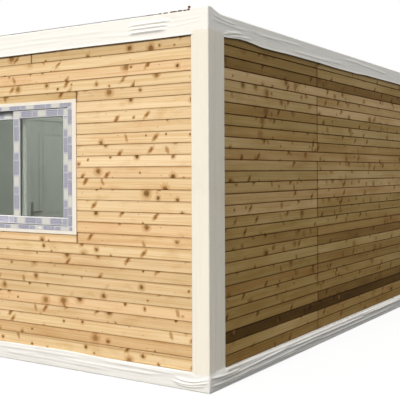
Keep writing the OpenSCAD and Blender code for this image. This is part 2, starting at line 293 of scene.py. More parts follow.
def pine_boards():
    """Rough pine boards with grain that follows each board, knots, and a tone of their own."""
    material, tree = new_material("pine boards")
    along, across, seed = tree.parts(tree.attribute("grain", "Vector"))
    tone = tree.attribute("tone")
    far = along + seed * 31.7

    # Round knots: about two in a metre of board, 15 to 60 mm across, pulled out of round
    pull = tree.noise(tree.vector(far * 38.0, across * 38.0, seed), 1.0, 2.0) - 0.5
    cells = tree.vector(far * 5.4 + pull * 0.10, across * 6.0 + seed * 5.3 + pull * 0.12, 0.0)
    distance, chance = tree.cells(cells)
    chance_size, chance_kept, chance_dark = tree.parts(chance)
    ratio = distance / (0.040 + chance_size * chance_size * 0.120)
    kept = tree.remap(chance_kept, 0.46, 0.50)
    knot = tree.remap(ratio, 1.30, 0.55) * kept
    halo = tree.remap(ratio, 2.8, 0.8) * kept

    # Spike knots: brown streaks that slant across a board, most one way and a few the other
    slant_x = far * 0.72 + across * 0.69
    slant_y = across * 0.72 - far * 0.69
    dashes = tree.vector(
        slant_x * 4.5 + pull * 0.16, slant_y * 11.0 + seed * 3.1 + pull * 0.30, 0.0
    )
    dash_distance, dash_chance = tree.cells(dashes)
    dash_kept = tree.remap(tree.parts(dash_chance)[0], 0.77, 0.80)
    spike = tree.remap(dash_distance, 0.27, 0.12) * dash_kept
    spike_core = tree.remap(dash_distance, 0.15, 0.05) * dash_kept
    lean_x = across * 0.92 - far * 0.40
    lean_y = across * 0.40 + far * 0.92
    leans = tree.vector(lean_x * 5.0 + seed * 1.9, lean_y * 11.0 + pull * 0.30, 0.0)
    lean_distance, lean_chance = tree.cells(leans)
    lean = tree.remap(lean_distance, 0.24, 0.08) * tree.remap(tree.parts(lean_chance)[0], 0.91, 0.93)

    # Pin knots
    pins = tree.vector(far * 15.0, across * 15.0 + seed * 7.7, 0.0)
    pin_distance, pin_chance = tree.cells(pins)
    pin = tree.remap(pin_distance, 0.085, 0.030) * tree.remap(tree.parts(pin_chance)[0], 0.93, 0.95)

    # Growth lines run along the board and bow out round the knots. Fibre is finer, and drift,
    # patch and hue change the colour slowly, in blotches and from board to board
    wander = tree.noise(tree.vector(far * 0.9, across * 5.0, seed * 11.0), 1.0, 2.0)
    bow = halo * 0.35
    rings = (across + wander * 0.045) * 95.0 + bow * 9.0
    lines = tree.noise(tree.vector(far * 0.55, rings, seed), 1.0, 3.0)
    fibre = tree.noise(tree.vector(far * 7.0, across * 420.0 + bow * 30.0, seed * 3.0), 1.0, 2.0)
    drift = tree.noise(tree.vector(far * 1.3, across * 6.0, seed * 5.0 + 3.0), 1.0, 2.0)
    patch = tree.noise(tree.vector(far * 4.2, across * 9.0, seed * 2.0 + 8.0), 1.0, 3.0)
    hue = tree.add("ShaderNodeTexWhiteNoise", {"noise_dimensions": "1D"}, {"W": seed * 17.0}, "Value")

    wood = tree.ramp(
        tone + (drift - 0.5) * 0.20,
        (0.0, (0.855, 0.672, 0.430)),
        (0.25, (0.735, 0.540, 0.315)),
        (0.50, (0.390, 0.274, 0.104)),
        (0.65, (0.275, 0.170, 0.052)),
        (0.85, (0.120, 0.066, 0.014)),
        (1.0, (0.050, 0.028, 0.005)),
    )
    wood = tree.mix(tree.remap(hue, 0.55, 1.0) * 0.55, wood, (1.0, 0.86, 0.76), "MULTIPLY")
    wood = tree.mix(tree.remap(hue, 0.45, 0.0) * 0.50, wood, (0.96, 0.98, 0.90), "MULTIPLY")
    wood = tree.mix(tree.remap(lines, 0.42, 0.66) * 0.60, wood, (0.80, 0.66, 0.46), "MULTIPLY")
    wood = tree.mix(tree.remap(fibre, 0.35, 0.75) * 0.30, wood, (0.78, 0.70, 0.58), "MULTIPLY")
    wood = tree.mix(tree.remap(drift, 0.50, 0.72) * 0.40, wood, (0.96, 0.82, 0.72), "MULTIPLY")
    wood = tree.mix(tree.remap(patch, 0.55, 0.78) * 0.50, wood, (0.78, 0.66, 0.48), "MULTIPLY")
    wood = tree.mix(halo * 0.66, wood, (0.64, 0.45, 0.25), "MULTIPLY")
    core = tree.ramp(
        chance_dark * 0.5 + chance_size * 0.5,
        (0.0, (0.050, 0.019, 0.004)), (0.45, (0.140, 0.068, 0.017)), (1.0, (0.320, 0.185, 0.060)),
    )
    wood = tree.mix(knot * 0.90, wood, core)
    wood = tree.mix(spike * 0.80, wood, (0.62, 0.45, 0.25), "MULTIPLY")
    wood = tree.mix(spike_core * 0.75, wood, (0.36, 0.23, 0.10), "MULTIPLY")
    wood = tree.mix(lean * 0.75, wood, (0.50, 0.34, 0.17), "MULTIPLY")
    wood = tree.mix(pin * 0.80, wood, (0.090, 0.042, 0.012))

    # Painted shade: the edges of a board, and the joint behind them, are darkened where shade falls in
    # the joints, more on darker boards
    edge = tree.remap(across, 0.0085, 0.0010) + tree.remap(across, 0.0755, 0.0815)
    wood = tree.mix(edge * (tone * 0.65 + 0.30), wood, (0.46, 0.34, 0.20), "MULTIPLY")
    # Painted shade at the butt joints: a board's face darkens towards its ends
    end = tree.remap(tree.attribute("from_end"), 0.013, 0.003)
    wood = tree.mix(end * 0.70, wood, (0.34, 0.26, 0.18), "MULTIPLY")

    relief = lines * 0.5 + fibre * 0.35 + knot * 0.6
    tree.finish(
        wood, 0.56 + fibre * 0.22 - knot * 0.12, relief, 0.0011, Specular_IOR_Level=0.08
    )
    return material


def wrapping_film(name, scale, color, shade):
    """White foam film, with fine pleats along the way it was stretched."""
    material, tree = new_material(name)
    pleats = tree.noise(tree.place(scale), 1.0, 3.0)
    crumple = tree.noise(tree.place(), 34.0, 4.0)
    soil = tree.noise(tree.place(), 2.3, 5.0, 0.65)
    # Painted shade: the film is darker in its pleats, towards its shade colour
    white = tree.mix(tree.remap(pleats, 0.46, 0.70) * 0.35, color, shade)
    white = tree.mix(tree.remap(soil, 0.50, 0.75) * 0.25, white, (0.80, 0.75, 0.65), "MULTIPLY")
    tree.finish(
        white, 0.42 + crumple * 0.25, pleats * 0.8 + crumple * 0.6, 0.0013,
        Specular_IOR_Level=0.4, Sheen_Weight=0.05,
    )
    return material


def painted_steel():
    """The frame's white paint, with orange peel and dust."""
    material, tree = new_material("painted steel")
    peel = tree.noise(tree.place(), 260.0, 2.0)
    dust = tree.noise(tree.place(), 3.1, 6.0, 0.7)
    paint = tree.mix(tree.remap(dust, 0.45, 0.75) * 0.5, (0.80, 0.79, 0.75), (0.62, 0.59, 0.53))
    tree.finish(paint, 0.34 + dust * 0.25, peel, 0.0004)
    return material


def galvanised_sheet():
    """Zinc with spangles, white bloom and dust."""
    material, tree = new_material("galvanised sheet")
    sizes = {"Vector": tree.place(), "Scale": 42.0, "Randomness": 1.0}
    spangle = tree.add("ShaderNodeTexVoronoi", {"feature": "F1"}, sizes, "Color")
    grey = tree.parts(spangle)[0]
    bloom = tree.noise(tree.place((1.0, 0.35, 1.0)), 4.0, 6.0, 0.68)
    zinc = tree.ramp(grey, (0.0, (0.36, 0.375, 0.39)), (1.0, (0.56, 0.57, 0.58)))
    zinc = tree.mix(tree.remap(bloom, 0.48, 0.72) * 0.6, zinc, (0.56, 0.55, 0.52))
    tree.finish(
        zinc, 0.30 + grey * 0.15 + bloom * 0.2, bloom + grey * 0.2, 0.0006, Metallic=0.85
    )
    return material


def window_plastic():
    """White window plastic with drawn lines and dust."""
    material, tree = new_material("window plastic")
    dust = tree.noise(tree.place(), 7.0, 5.0, 0.65)
    grime = tree.noise(tree.place((3.0, 3.0, 1.0)), 40.0, 3.0)
    white = tree.mix(tree.remap(dust, 0.45, 0.75) * 0.4, (0.80, 0.79, 0.77), (0.70, 0.68, 0.65))
    tree.finish(white, 0.28 + grime * 0.18, grime, 0.0003)
    return material


def trim_paint():
    """The cream flat bars round the windows."""
    material, tree = new_material("trim paint")
    wear = tree.noise(tree.place(), 11.0, 5.0, 0.65)
    fine = tree.noise(tree.place(), 190.0, 2.0)
    cream = tree.mix(tree.remap(wear, 0.4, 0.7) * 0.5, (0.78, 0.715, 0.61), (0.70, 0.62, 0.50))
    tree.finish(cream, 0.40 + wear * 0.2, fine, 0.0003)
    return material


def clear_glass():
    """Window glass with a green cast."""
    material, tree = new_material("clear glass")
    tree.finish((0.80, 0.87, 0.80, 1.0), 0.0, Transmission_Weight=1.0, IOR=1.45)
    return material


def inner_lining():
    """The coated inner skin of the sandwich panels, with shallow rolled lines."""
    material, tree = new_material("inner lining")
    dust = tree.noise(tree.place(), 2.0, 5.0, 0.6)
    lines = tree.noise(tree.place((70.0, 70.0, 0.4)), 1.0, 2.0)
    skin = tree.mix(tree.remap(dust, 0.4, 0.7), (0.66, 0.67, 0.63), (0.60, 0.61, 0.56))
    tree.finish(skin, 0.38 + dust * 0.2, lines, 0.0006)
    return material


def floor_vinyl():
    """Sheet vinyl with a grey fleck."""
    material, tree = new_material("floor vinyl")
    fleck = tree.noise(tree.place(), 130.0, 3.0, 0.7)
    scuff = tree.noise(tree.place(), 2.6, 5.0, 0.65)
    vinyl = tree.ramp(fleck, (0.35, (0.055, 0.058, 0.055)), (0.65, (0.145, 0.145, 0.135)))
    vinyl = tree.mix(tree.remap(scuff, 0.5, 0.75) * 0.4, vinyl, (0.20, 0.19, 0.17))
    tree.finish(vinyl, 0.35 + scuff * 0.25, fleck, 0.0003)
    return material


def brushed_steel():
    """Stainless steel for the handles, hinges and the threshold."""
    material, tree = new_material("brushed steel")
    brush = tree.noise(tree.place((20.0, 20.0, 900.0)), 1.0, 2.0)
    steel = tree.mix(brush, (0.52, 0.52, 0.51), (0.66, 0.66, 0.65))
    tree.finish(steel, 0.24 + brush * 0.2, brush, 0.0002, Metallic=1.0)
    return material


def black_rubber():
    """Seals and gaskets, and the black strips of painted shade in the window sashes' gaps."""
    material, tree = new_material("black rubber")
    bloom = tree.noise(tree.place(), 60.0, 4.0)
    rubber = tree.mix(bloom, (0.018, 0.018, 0.018), (0.045, 0.044, 0.042))
    tree.finish(rubber, 0.55 + bloom * 0.2, bloom, 0.0003)
    return material


def rusted_strip():
    """Thin steel strip that has gone to brown rust, with some dark zinc left."""
    material, tree = new_material("rusted strip")
    rust = tree.noise(tree.place(), 140.0, 4.0, 0.6)
    bloom = tree.noise(tree.place(), 36.0, 3.0)
    metal = tree.ramp(
        rust, (0.35, (0.040, 0.022, 0.018)), (0.50, (0.130, 0.045, 0.025)),
        (0.66, (0.270, 0.120, 0.070)),
    )
    metal = tree.mix(tree.remap(bloom, 0.52, 0.66) * 0.6, metal, (0.030, 0.030, 0.032))
    tree.finish(metal, 0.62 + rust * 0.25, rust + bloom * 0.5, 0.0005)
    return material


def printed_tape():
    """Protective tape with a plain print of blue and cream blocks along it."""
    material, tree = new_material("printed tape")
    along, across, phase = tree.parts(tree.attribute("grain", "Vector"))
    repeat = tree.add("ShaderNodeMath", {"operation": "FRACT"}, [along / 0.289 + phase])
    smear = tree.noise(tree.place(), 55.0, 3.0)

    def block(start, end, low, high):
        """1 inside a block, with soft printed edges."""
        inside = tree.remap(repeat, start - 0.012, start + 0.012)
        inside = inside * tree.remap(repeat, end + 0.012, end - 0.012)
        inside = inside * tree.remap(across, low - 0.03, low + 0.03)
        return inside * tree.remap(across, high + 0.03, high - 0.03)

    stripes = tree.add("ShaderNodeMath", {"operation": "FRACT"}, [across * 4.0])
    stripes = tree.remap(stripes, 0.50, 0.75)
    worn = tree.remap(tree.noise(tree.place(), 95.0, 2.0), 0.46, 0.62)
    film = tree.mix(smear, (0.42, 0.41, 0.455), (0.53, 0.52, 0.54))
    film = tree.mix(block(0.03, 0.43, 0.04, 0.96), film, (0.225, 0.228, 0.300))
    film = tree.mix(block(0.05, 0.41, 0.14, 0.86) * stripes * 0.75, film, (0.47, 0.465, 0.51))
    film = tree.mix(block(0.47, 0.66, 0.04, 0.96), film, (0.31, 0.312, 0.375))
    film = tree.mix(block(0.70, 0.97, 0.10, 0.90), film, (0.60, 0.59, 0.51))
    film = tree.mix(worn * 0.45, film, (0.48, 0.47, 0.495))
    tree.finish(film, 0.30 + smear * 0.2, smear, 0.0004)
    return material


def door_skin():
    """The coated steel skin of the door leaf."""
    material, tree = new_material("door skin")
    peel = tree.noise(tree.place(), 240.0, 2.0)
    dust = tree.noise(tree.place((1.0, 1.0, 0.5)), 4.0, 5.0, 0.65)
    skin = tree.mix(tree.remap(dust, 0.4, 0.75), (0.78, 0.77, 0.74), (0.66, 0.64, 0.60))
    tree.finish(skin, 0.33 + dust * 0.2, peel, 0.0004)
    return material


PINE = pine_boards()
RAIL_WRAP = wrapping_film(
    "film on the rails", (2.2, 2.2, 60.0), (0.83, 0.805, 0.745), (0.72, 0.70, 0.66)
)
BOTTOM_WRAP = wrapping_film(
    "film on the bottom rails", (2.2, 2.2, 60.0), (0.755, 0.735, 0.690), (0.56, 0.55, 0.53)
)
POST_WRAP = wrapping_film(
    "film on the posts", (120.0, 120.0, 0.9), (0.775, 0.722, 0.615), (0.67, 0.625, 0.54)
)
PAINT = painted_steel()
ZINC = galvanised_sheet()
PLASTIC = window_plastic()
CREAM = trim_paint()
GLASS = clear_glass()
LINING = inner_lining()
VINYL = floor_vinyl()
STEEL = brushed_steel()
RUBBER = black_rubber()
RUST = rusted_strip()
TAPE = printed_tape()
DOOR_SKIN = door_skin()

SLOT_FINISH = {
    "frame_white": PAINT,
    "galvanised": ZINC,
    "floor_vinyl": VINYL,
    "inner_white": LINING,
    "pine": PINE,
    "film": RAIL_WRAP,
    "upvc": PLASTIC,
    "trim_cream": CREAM,
    "glass": GLASS,
    "handle_steel": STEEL,
}


# Making pieces


class Shape:
    """A mesh while it is being made: vertices, faces and a grain vector for each vertex."""

    def __init__(self):
        self.vertices = []
        self.faces = []
        self.grain = []

    def point(self, place, grain=(0.0, 0.0, 0.0)):
        self.vertices.append(tuple(place))
        self.grain.append(tuple(grain))
        return len(self.vertices) - 1

    def rows(self, rows, closed=False, ring=False, capped=False):
        """Joins rows of equally many points. A closed row runs round to its start, a ring
        joins its last row to its first, and caps close the first row and the last."""
        numbers = [[self.point(place) for place in row] for row in rows]
        following = numbers[1:] + (numbers[:1] if ring else [])
        for lower, upper in zip(numbers, following):
            count = len(lower)
            for i in range(count if closed else count - 1):
                k = (i + 1) % count
                self.faces.append((lower[i], lower[k], upper[k], upper[i]))
        if capped:
            self.faces += [tuple(reversed(numbers[0])), tuple(numbers[-1])]

    def block(self, low, high, chamfer, grain_axis=None, phase=0.0):
        """A box with chamfered edges. Its grain runs along an axis, with a phase."""
        low, high = Vector(low), Vector(high)
        work = bmesh.new()
        for corner in range(8):
            at = [(high, low)[corner >> axis & 1][axis] for axis in range(3)]
            pull = [(-chamfer, chamfer)[corner >> axis & 1] for axis in range(3)]
            for kept in range(3):
                work.verts.new(
                    [at[axis] + (0 if axis == kept else pull[axis]) for axis in range(3)]
                )
        bmesh.ops.convex_hull(work, input=work.verts)
        bmesh.ops.dissolve_limit(work, angle_limit=0.01, verts=work.verts, edges=work.edges)
        first = len(self.vertices)
        work.verts.index_update()
        for vertex in work.verts:
            grain = (0.0, 0.0, 0.0)
            if grain_axis is not None:
                other = 2 if grain_axis == 0 else 0
                share = (vertex.co[other] - low[other]) / (high[other] - low[other])
                grain = (vertex.co[grain_axis], share, phase)
            self.point(vertex.co, grain)
        for face in work.faces:
            self.faces.append(tuple(first + vertex.index for vertex in face.verts))
        work.free()

    def lathe(self, start, end, profile, sides=24):
        """Turns a profile of (share of the way, radius) about the line from start to end."""
        start, end = Vector(start), Vector(end)
        turn = (end - start).to_track_quat("Z", "Y").to_matrix()
        rows = []
        for share, radius in profile:
            middle = start.lerp(end, share)
            rows.append([
                middle + turn @ Vector((
                    radius * math.cos(2 * math.pi * i / sides),
                    radius * math.sin(2 * math.pi * i / sides),
                    0,
                ))
                for i in range(sides)
            ])
        self.rows(rows, closed=True, capped=True)

    def frame(self, low, high, side_face, rail_face, front, back, chamfer):
        """A four-sided mitred frame in the x and z of a wall, from depth front to back."""
        section = [
            (0.0, front + chamfer), (chamfer, front), (1.0 - chamfer, front), (1.0, front + chamfer),
            (1.0, back), (0.0, back),
        ]
        corners = [
            ((low[0], low[1]), (1, 1)), ((high[0], low[1]), (-1, 1)),
            ((high[0], high[1]), (-1, -1)), ((low[0], high[1]), (1, -1)),
        ]
        rows = []
        for (x, z), (x_way, z_way) in corners:
            row = []
            for share, depth in section:
                inset_x, inset_z = share * side_face, share * rail_face
                if 0 < share < 0.5:
                    inset_x = inset_z = chamfer
                if 0.5 < share < 1:
                    inset_x, inset_z = side_face - chamfer, rail_face - chamfer
                row.append((x + x_way * inset_x, depth, z + z_way * inset_z))
            rows.append(row)
        self.rows(rows, closed=True, ring=True)


def finish(name, shape, material, place=None, smooth_below=None, outwards=True):
    """Makes a shape an object at the origin, its faces outwards unless that is turned off.

    Edges that bend less than smooth_below, in degrees, are shaded smooth."""
    mesh = bpy.data.meshes.new(name)
    mesh.from_pydata(shape.vertices, [], shape.faces)
    if any(any(grain) for grain in shape.grain):
        layer = mesh.attributes.new("grain", "FLOAT_VECTOR", "POINT")
        layer.data.foreach_set("vector", [number for grain in shape.grain for number in grain])
    if place is not None:
        mesh.transform(place)
    if outwards:
        work = bmesh.new()
        work.from_mesh(mesh)
        bmesh.ops.recalc_face_normals(work, faces=work.faces)
        work.to_mesh(mesh)
        work.free()
    if smooth_below is not None:
        mesh.shade_smooth()
        mesh.set_sharp_from_angle(angle=math.radians(smooth_below))
    mesh.materials.append(material)
    piece = bpy.data.objects.new(name, mesh)
    scene.collection.objects.link(piece)
    return piece


def fix(piece, slot, *replaced):
    """Joins a finished piece to the cabin, in place of CAD nodes if any are named."""
    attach(piece, "root")
    if replaced:
        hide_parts(*replaced)
    return piece


def evaluated_mesh(piece):
    """A piece's mesh with its modifiers applied, and its attributes kept."""
    graph = bpy.context.evaluated_depsgraph_get()
    return bpy.data.meshes.new_from_object(
        piece.evaluated_get(graph), preserve_all_data_layers=True, depsgraph=graph
    )


def run_nodes(name, points, group, blank, material, place=None, **inputs):
    """Runs a geometry node group that copies a blank onto points, and gives a plain object."""
    inputs.update(Blank=blank, Finish=material)
    modifier = points.modifiers.new("make", "NODES")
    modifier.node_group = group
    for item in group.interface.items_tree:
        if item.in_out == "INPUT" and item.name in inputs:
            modifier[item.identifier] = inputs[item.name]
    mesh = evaluated_mesh(points)
    mesh.name = name
    mesh.materials.clear()
    mesh.materials.append(material)
    for used in (points, blank):
        bpy.data.objects.remove(used)
    if place is not None:
        mesh.transform(place)
    piece = bpy.data.objects.new(name, mesh)
    scene.collection.objects.link(piece)
    return piece


def point_cloud(name, places, **attributes):
    """An object of loose points, with number or vector attributes."""
    mesh = bpy.data.meshes.new(name)
    mesh.from_pydata(places, [], [])
    for label, values in attributes.items():
        if isinstance(values[0], tuple):
            layer = mesh.attributes.new(label, "FLOAT_VECTOR", "POINT")
            layer.data.foreach_set("vector", [number for value in values for number in value])
        else:
            layer = mesh.attributes.new(label, "FLOAT", "POINT")
            layer.data.foreach_set("value", values)
    piece = bpy.data.objects.new(name, mesh)
    scene.collection.objects.link(piece)
    return piece


# The boarding

BOARD_CHAMFER = 0.0030
BOARD_SEGMENTS = 12
BUTT_GAP = 0.0050
OPENING_GAP = 0.003
BOARD_PROUD = 0.0009  # how far one board stands out past the next, at most, either way
BOARD_SETBACK = 0.0010
BOARD_THINNED = 0.93
BOARD_WANDER, WANDER_SPREAD = 0.0022, 0.8
BOARD_TOP = WALL_TOP - 0.002
LOWEST_FOOT = RAIL_TOP + 0.0015

# The end walls and the long walls: the rise of a course, the gap between two boards, the foot
# of the second course, and the palest and the darkest tone of a usual board
END_PITCH, END_GAP, END_FIRST, END_TONES = 0.0877, 0.0021, 0.2400, (0.02, 0.34)
# The long walls' tones are darker than the end walls': painted shade on those walls
SIDE_PITCH, SIDE_GAP, SIDE_FIRST, SIDE_SHADED_TONES = 0.0863, 0.0062, 0.1405, (0.34, 0.68)

# Where boards are butted, from the middle of the wall, and how far a window's trim overlaps
END_JOINT = HALF_WIDTH - 1.762
SIDE_JOINT = HALF_LENGTH - 1.92
TRIM_REACH = 0.040

# Courses of the right wall that stand out, the last entry for every course from there up: the
# tone near the corner (None if usual), the tone beyond the joint, and whether there is a joint
SIDE_COURSES = {
    2: (0.90, 0.90, False),
    3: (0.60, 0.74, True),
    9: (None, 0.68, True),
    26: (0.70, 0.70, True),
    27: (0.60, 0.47, True),
}


def board_blank(pitch, gap):
    """A tongued and grooved board one metre long, with its face at y 0."""
    top = pitch - gap
    thick = BOARD_THICKNESS
    face = [(0.0, mix(BOARD_CHAMFER, top - BOARD_CHAMFER, share)) for share in (0, 0.33, 0.67, 1)]
    section = face + [
        (BOARD_CHAMFER, top), (0.50 * thick, top), (0.53 * thick, top + 0.010),
        (0.77 * thick, top + 0.010), (0.80 * thick, top), (thick, top), (thick, 0.0),
        (0.82 * thick, 0.0), (0.79 * thick, 0.009), (0.51 * thick, 0.009),
        (0.48 * thick, 0.0), (BOARD_CHAMFER, 0.0),
    ]
    shape = Shape()
    rows = [
        [(step / BOARD_SEGMENTS, y, z) for y, z in section] for step in range(BOARD_SEGMENTS + 1)
    ]
    shape.rows(rows, closed=True, capped=True)
    return finish("board blank", shape, PINE)


def board_laying_nodes():
    """Lays one board at each point, lets it wander a little and writes its grain."""
    group, tree = new_geometry_group(
        "lay boards", Blank="Object", Wander="Float", Spread="Float", Finish="Material"
    )
    solid = tree.copies(Scale=tree.named("stretch", "FLOAT_VECTOR"))
    x, _, z = tree.parts(tree.add("GeometryNodeInputPosition"))
    seed = tree.named("seed")
    along = x * tree.given("Spread")
    sway = tree.noise(tree.vector(along, seed * 9.1, 0.0), 1.0, 2.0) - 0.5
    lift = tree.noise(tree.vector(along, seed * 9.1, 5.0), 1.0, 2.0) - 0.5
    wander = tree.given("Wander")
    shift = tree.vector(0.0, sway * wander, lift * wander * 0.8)
    moved = tree.add(
        "GeometryNodeSetPosition", None, {"Geometry": solid, "Offset": shift}, "Geometry"
    )
    grain = tree.vector(x, z - tree.named("rise"), seed)
    from_end = tree.add(
        "ShaderNodeMath", {"operation": "MINIMUM"},
        [x - tree.named("start"), tree.named("end") - x],
    )
    written = tree.store(moved, "grain", "FLOAT_VECTOR", grain)
    tree.deliver(tree.store(written, "from_end", "FLOAT", from_end))
    return group


LAY_BOARDS = board_laying_nodes()


def lay_wall(side, pitch, gap, boards):
    """Lays boards, each (x start, x end, foot, height, tone), on a wall."""
    draw = random.Random(side)
    places, carried = [], []
    for start, end, foot, height, tone in boards:
        proud = draw.uniform(-BOARD_PROUD, BOARD_PROUD)
        places.append((start, RECESS + BOARD_SETBACK + proud, foot))
        stretch = (end - start, BOARD_THINNED, height / pitch)
        carried.append((stretch, foot, start, end, draw.uniform(0.0, 9.0), tone))
    labels = ("stretch", "rise", "start", "end", "seed", "tone")
    points = point_cloud("board places " + side, places, **dict(zip(labels, zip(*carried))))
    piece = run_nodes(
        "boards_" + side, points, LAY_BOARDS, board_blank(pitch, gap), PINE, wall_matrix(side),
        Wander=BOARD_WANDER, Spread=WANDER_SPREAD,
    )
    return fix(piece, "pine", "boarding_" + side)


def courses(first, pitch):
    """(foot, height) of each course up a wall, the lowest from the rail up to first."""
    rows = [(LOWEST_FOOT, first - LOWEST_FOOT)]
    foot = first
    while foot < BOARD_TOP - 0.004:
        rows.append((foot, min(pitch, BOARD_TOP - foot)))
        foot += pitch
    return rows


def split(start, end, foot, height, tones, cuts):
    """Boards of one course, cut at places along it, with a tone for each."""
    edges = [start] + [cut for cut in cuts if start < cut < end] + [end]
    boards = []
    for i, (a, b) in enumerate(zip(edges, edges[1:])):
        boards.append((a + BUTT_GAP / 2, b - BUTT_GAP / 2, foot, height, tones[i % len(tones)]))
    return boards


def end_wall_boards(side):
    """Boards of an end wall, cut round its window."""
    draw = random.Random(side + " tones")
    low, high = wall_box(side, side + "_window_frame")
    reach = HALF_WIDTH - POST_END
    boards = []
    hand = 1 if side == "front" else -1
    trim_edge = (high.x if hand > 0 else low.x) + hand * TRIM_REACH
    for number, (foot, height) in enumerate(courses(END_FIRST, END_PITCH)):
        # Tones run from 0, the palest wood, to 1. The lower boards are darker
        usual = 0.18 + 0.11 * clamp(1.25 - foot)
        tone = clamp(draw.gauss(usual, 0.065), *END_TONES)
        other = clamp(draw.gauss(usual, 0.065), *END_TONES)
        if number == 0:
            tone = other = 0.24
        middle = foot + height / 2
        if low.z < middle < high.z:
            boards.append((-reach, low.x - OPENING_GAP, foot, height, other))
            boards.append((high.x + OPENING_GAP, reach, foot, height, tone))
        elif low.z - END_PITCH < middle < high.z + END_PITCH:
            boards += split(-reach, reach, foot, height, (other, tone), [trim_edge])
        # The top course, under the top rail's film, is darker: partly its own tone and partly painted
        # shade under the rail
        elif foot + height > BOARD_TOP - 0.04:
            boards += split(-reach, reach, foot, height, (0.30, 0.34), [hand * END_JOINT])
        else:
            boards.append((-reach, reach, foot, height, tone))
    return boards


def side_wall_boards(side):
    """Boards of a long wall, most of them butted on one line, round the door if it has one."""
    draw = random.Random(side + " tones")
    reach = HALF_LENGTH - POST_SIDE
    hand = -1 if side == "right" else 1
    low, high = wall_box(side, "door_frame") if side == "left" else (Vector(), Vector())
    boards = []
    for number, (foot, height) in enumerate(courses(SIDE_FIRST, SIDE_PITCH)[1:]):
        # A long wall's boards are darker than an end wall's, as painted shade, and darker towards the
        # bottom
        middle = 0.425 + 0.22 * (1 - foot / WALL_TOP) ** 2
        near = clamp(draw.gauss(middle, 0.052), *SIDE_SHADED_TONES)
        far = clamp(draw.gauss(mix(near, middle, 0.3), 0.030), *SIDE_SHADED_TONES)
        jointed = number % 7 != 4
        marked = SIDE_COURSES.get(min(number, max(SIDE_COURSES)))
        if side == "right" and marked:
            near = near if marked[0] is None else marked[0]
            far, jointed = marked[1:]
        order = (near, far) if hand < 0 else (far, near)
        cuts = [hand * SIDE_JOINT] if jointed else []
        for start, end, foot, height, tone in split(-reach, reach, foot, height, order, cuts):
            if side == "left" and foot + height / 2 < high.z:
                if start < low.x:
                    boards.append((start, min(end, low.x - OPENING_GAP), foot, height, tone))
                if end > high.x:
                    boards.append((max(start, high.x + OPENING_GAP), end, foot, height, tone))
            else:
                boards.append((start, end, foot, height, tone))
    return boards


for side in ENDS:
    lay_wall(side, END_PITCH, END_GAP, end_wall_boards(side))
for side in ("right", "left"):
    lay_wall(side, SIDE_PITCH, SIDE_GAP, side_wall_boards(side))


# The protective film

CORNER_RADIUS = 0.008
CORNER_PARTS = 5
EDGE_RADIUS = 0.005
FILM_STAND = 0.0005
FILM_SLACK = 0.0010
FILM_THICKNESS = 0.0009
FOLD_DEPTH = 0.058
HEM = 0.0024  # how far the top film's lower edge curls out
BOTTOM_FILM_FOOT = 0.0055
POST_LAP = 0.022  # how much further up the bottom film reaches on a post

# Rows of vertices up the outer face of a rail's film, and their spacing along the rail
FACE_ROWS = 30
FINE_STEP, COARSE_STEP = 0.013, 0.026

# How far a post's film runs down behind the bottom film and up behind the top one, and in
# past the post's two edges
TUCK_DOWN, TUCK_UP, TUCK_IN = 0.050, 0.040, 0.007
TUCK_TAPER = 0.045
PLEATS = 26
POST_LEVELS = 94


def from_meeting_corner(side, x):
    """Distance from the corner where the front and right walls meet, or a like one behind."""
    half = WALL_HALF[side]
    return half - x if side in ENDS else half + x


class Fold:
    """A raised crease along a wall, from one place to another, that tapers at its ends."""

    def __init__(self, start, end, z_start, z_end, width, height, bow=0.0):
        self.start, self.end = start, end
        self.z_start, self.z_end = z_start, z_end
        self.width, self.height, self.bow = width, height, bow

    def rise(self, t, z):
        if not self.start < t < self.end:
            return 0.0
        share = (t - self.start) / (self.end - self.start)
        middle = mix(self.z_start, self.z_end, share) + self.bow * math.sin(math.pi * share)
        off = (z - middle) / self.width
        if abs(off) > 2.5:
            return 0.0
        taper = smooth(min(share, 1 - share) * 5)
        return self.height * taper * math.exp(-off * off)


def loose_folds(draw, length, low, high, count, size):
    """Shallow creases that run mostly along a rail, spread over its whole length."""
    folds = []
    for _ in range(count):
        reach = draw.uniform(0.22, 0.85)
        start = draw.uniform(-0.05, length - reach * 0.6)
        z = draw.uniform(low, high)
        folds.append(Fold(
            start, start + reach, z, z + draw.uniform(-0.05, 0.05) * reach,
            draw.uniform(0.0040, 0.010), size * draw.uniform(0.0012, 0.0032),
            draw.uniform(-0.012, 0.012),
        ))
    return folds


# The larger folds on the rails, by distance from the corner and height
TOP_FOLDS = {
    "front": [
        Fold(0.31, 0.73, 2.7250, 2.7230, 0.0100, 0.0115),
        Fold(0.33, 0.73, 2.6955, 2.6940, 0.0100, 0.0115),
        Fold(0.35, 0.73, 2.6655, 2.6645, 0.0100, 0.0115),
        Fold(0.03, 0.40, 2.704, 2.676, 0.0040, 0.0018, -0.003),
        Fold(0.03, 0.36, 2.722, 2.712, 0.0040, 0.0016, 0.002),
        Fold(0.90, 1.80, 2.712, 2.722, 0.0110, 0.0014, -0.004),
        Fold(1.30, 2.70, 2.675, 2.665, 0.0110, 0.0014, 0.006),
    ],
    "right": [
        Fold(-0.01, 0.24, 2.606, 2.598, 0.0035, 0.0030, 0.002),
        Fold(0.20, 0.52, 2.622, 2.664, 0.0060, 0.0052, 0.006),
        Fold(0.30, 0.66, 2.618, 2.640, 0.0055, 0.0046, 0.008),
        Fold(0.24, 0.46, 2.648, 2.672, 0.0045, 0.0036, -0.004),
        Fold(0.02, 0.60, 2.716, 2.702, 0.0050, 0.0026, -0.010),
        Fold(0.05, 0.42, 2.748, 2.722, 0.0050, 0.0030, -0.010),
        Fold(0.70, 1.60, 2.690, 2.712, 0.0080, 0.0024, 0.006),
        Fold(1.30, 2.60, 2.650, 2.665, 0.0090, 0.0026, -0.006),
        Fold(2.40, 3.90, 2.715, 2.690, 0.0090, 0.0026, 0.008),
    ],
    "back": [],
    "left": [],
}

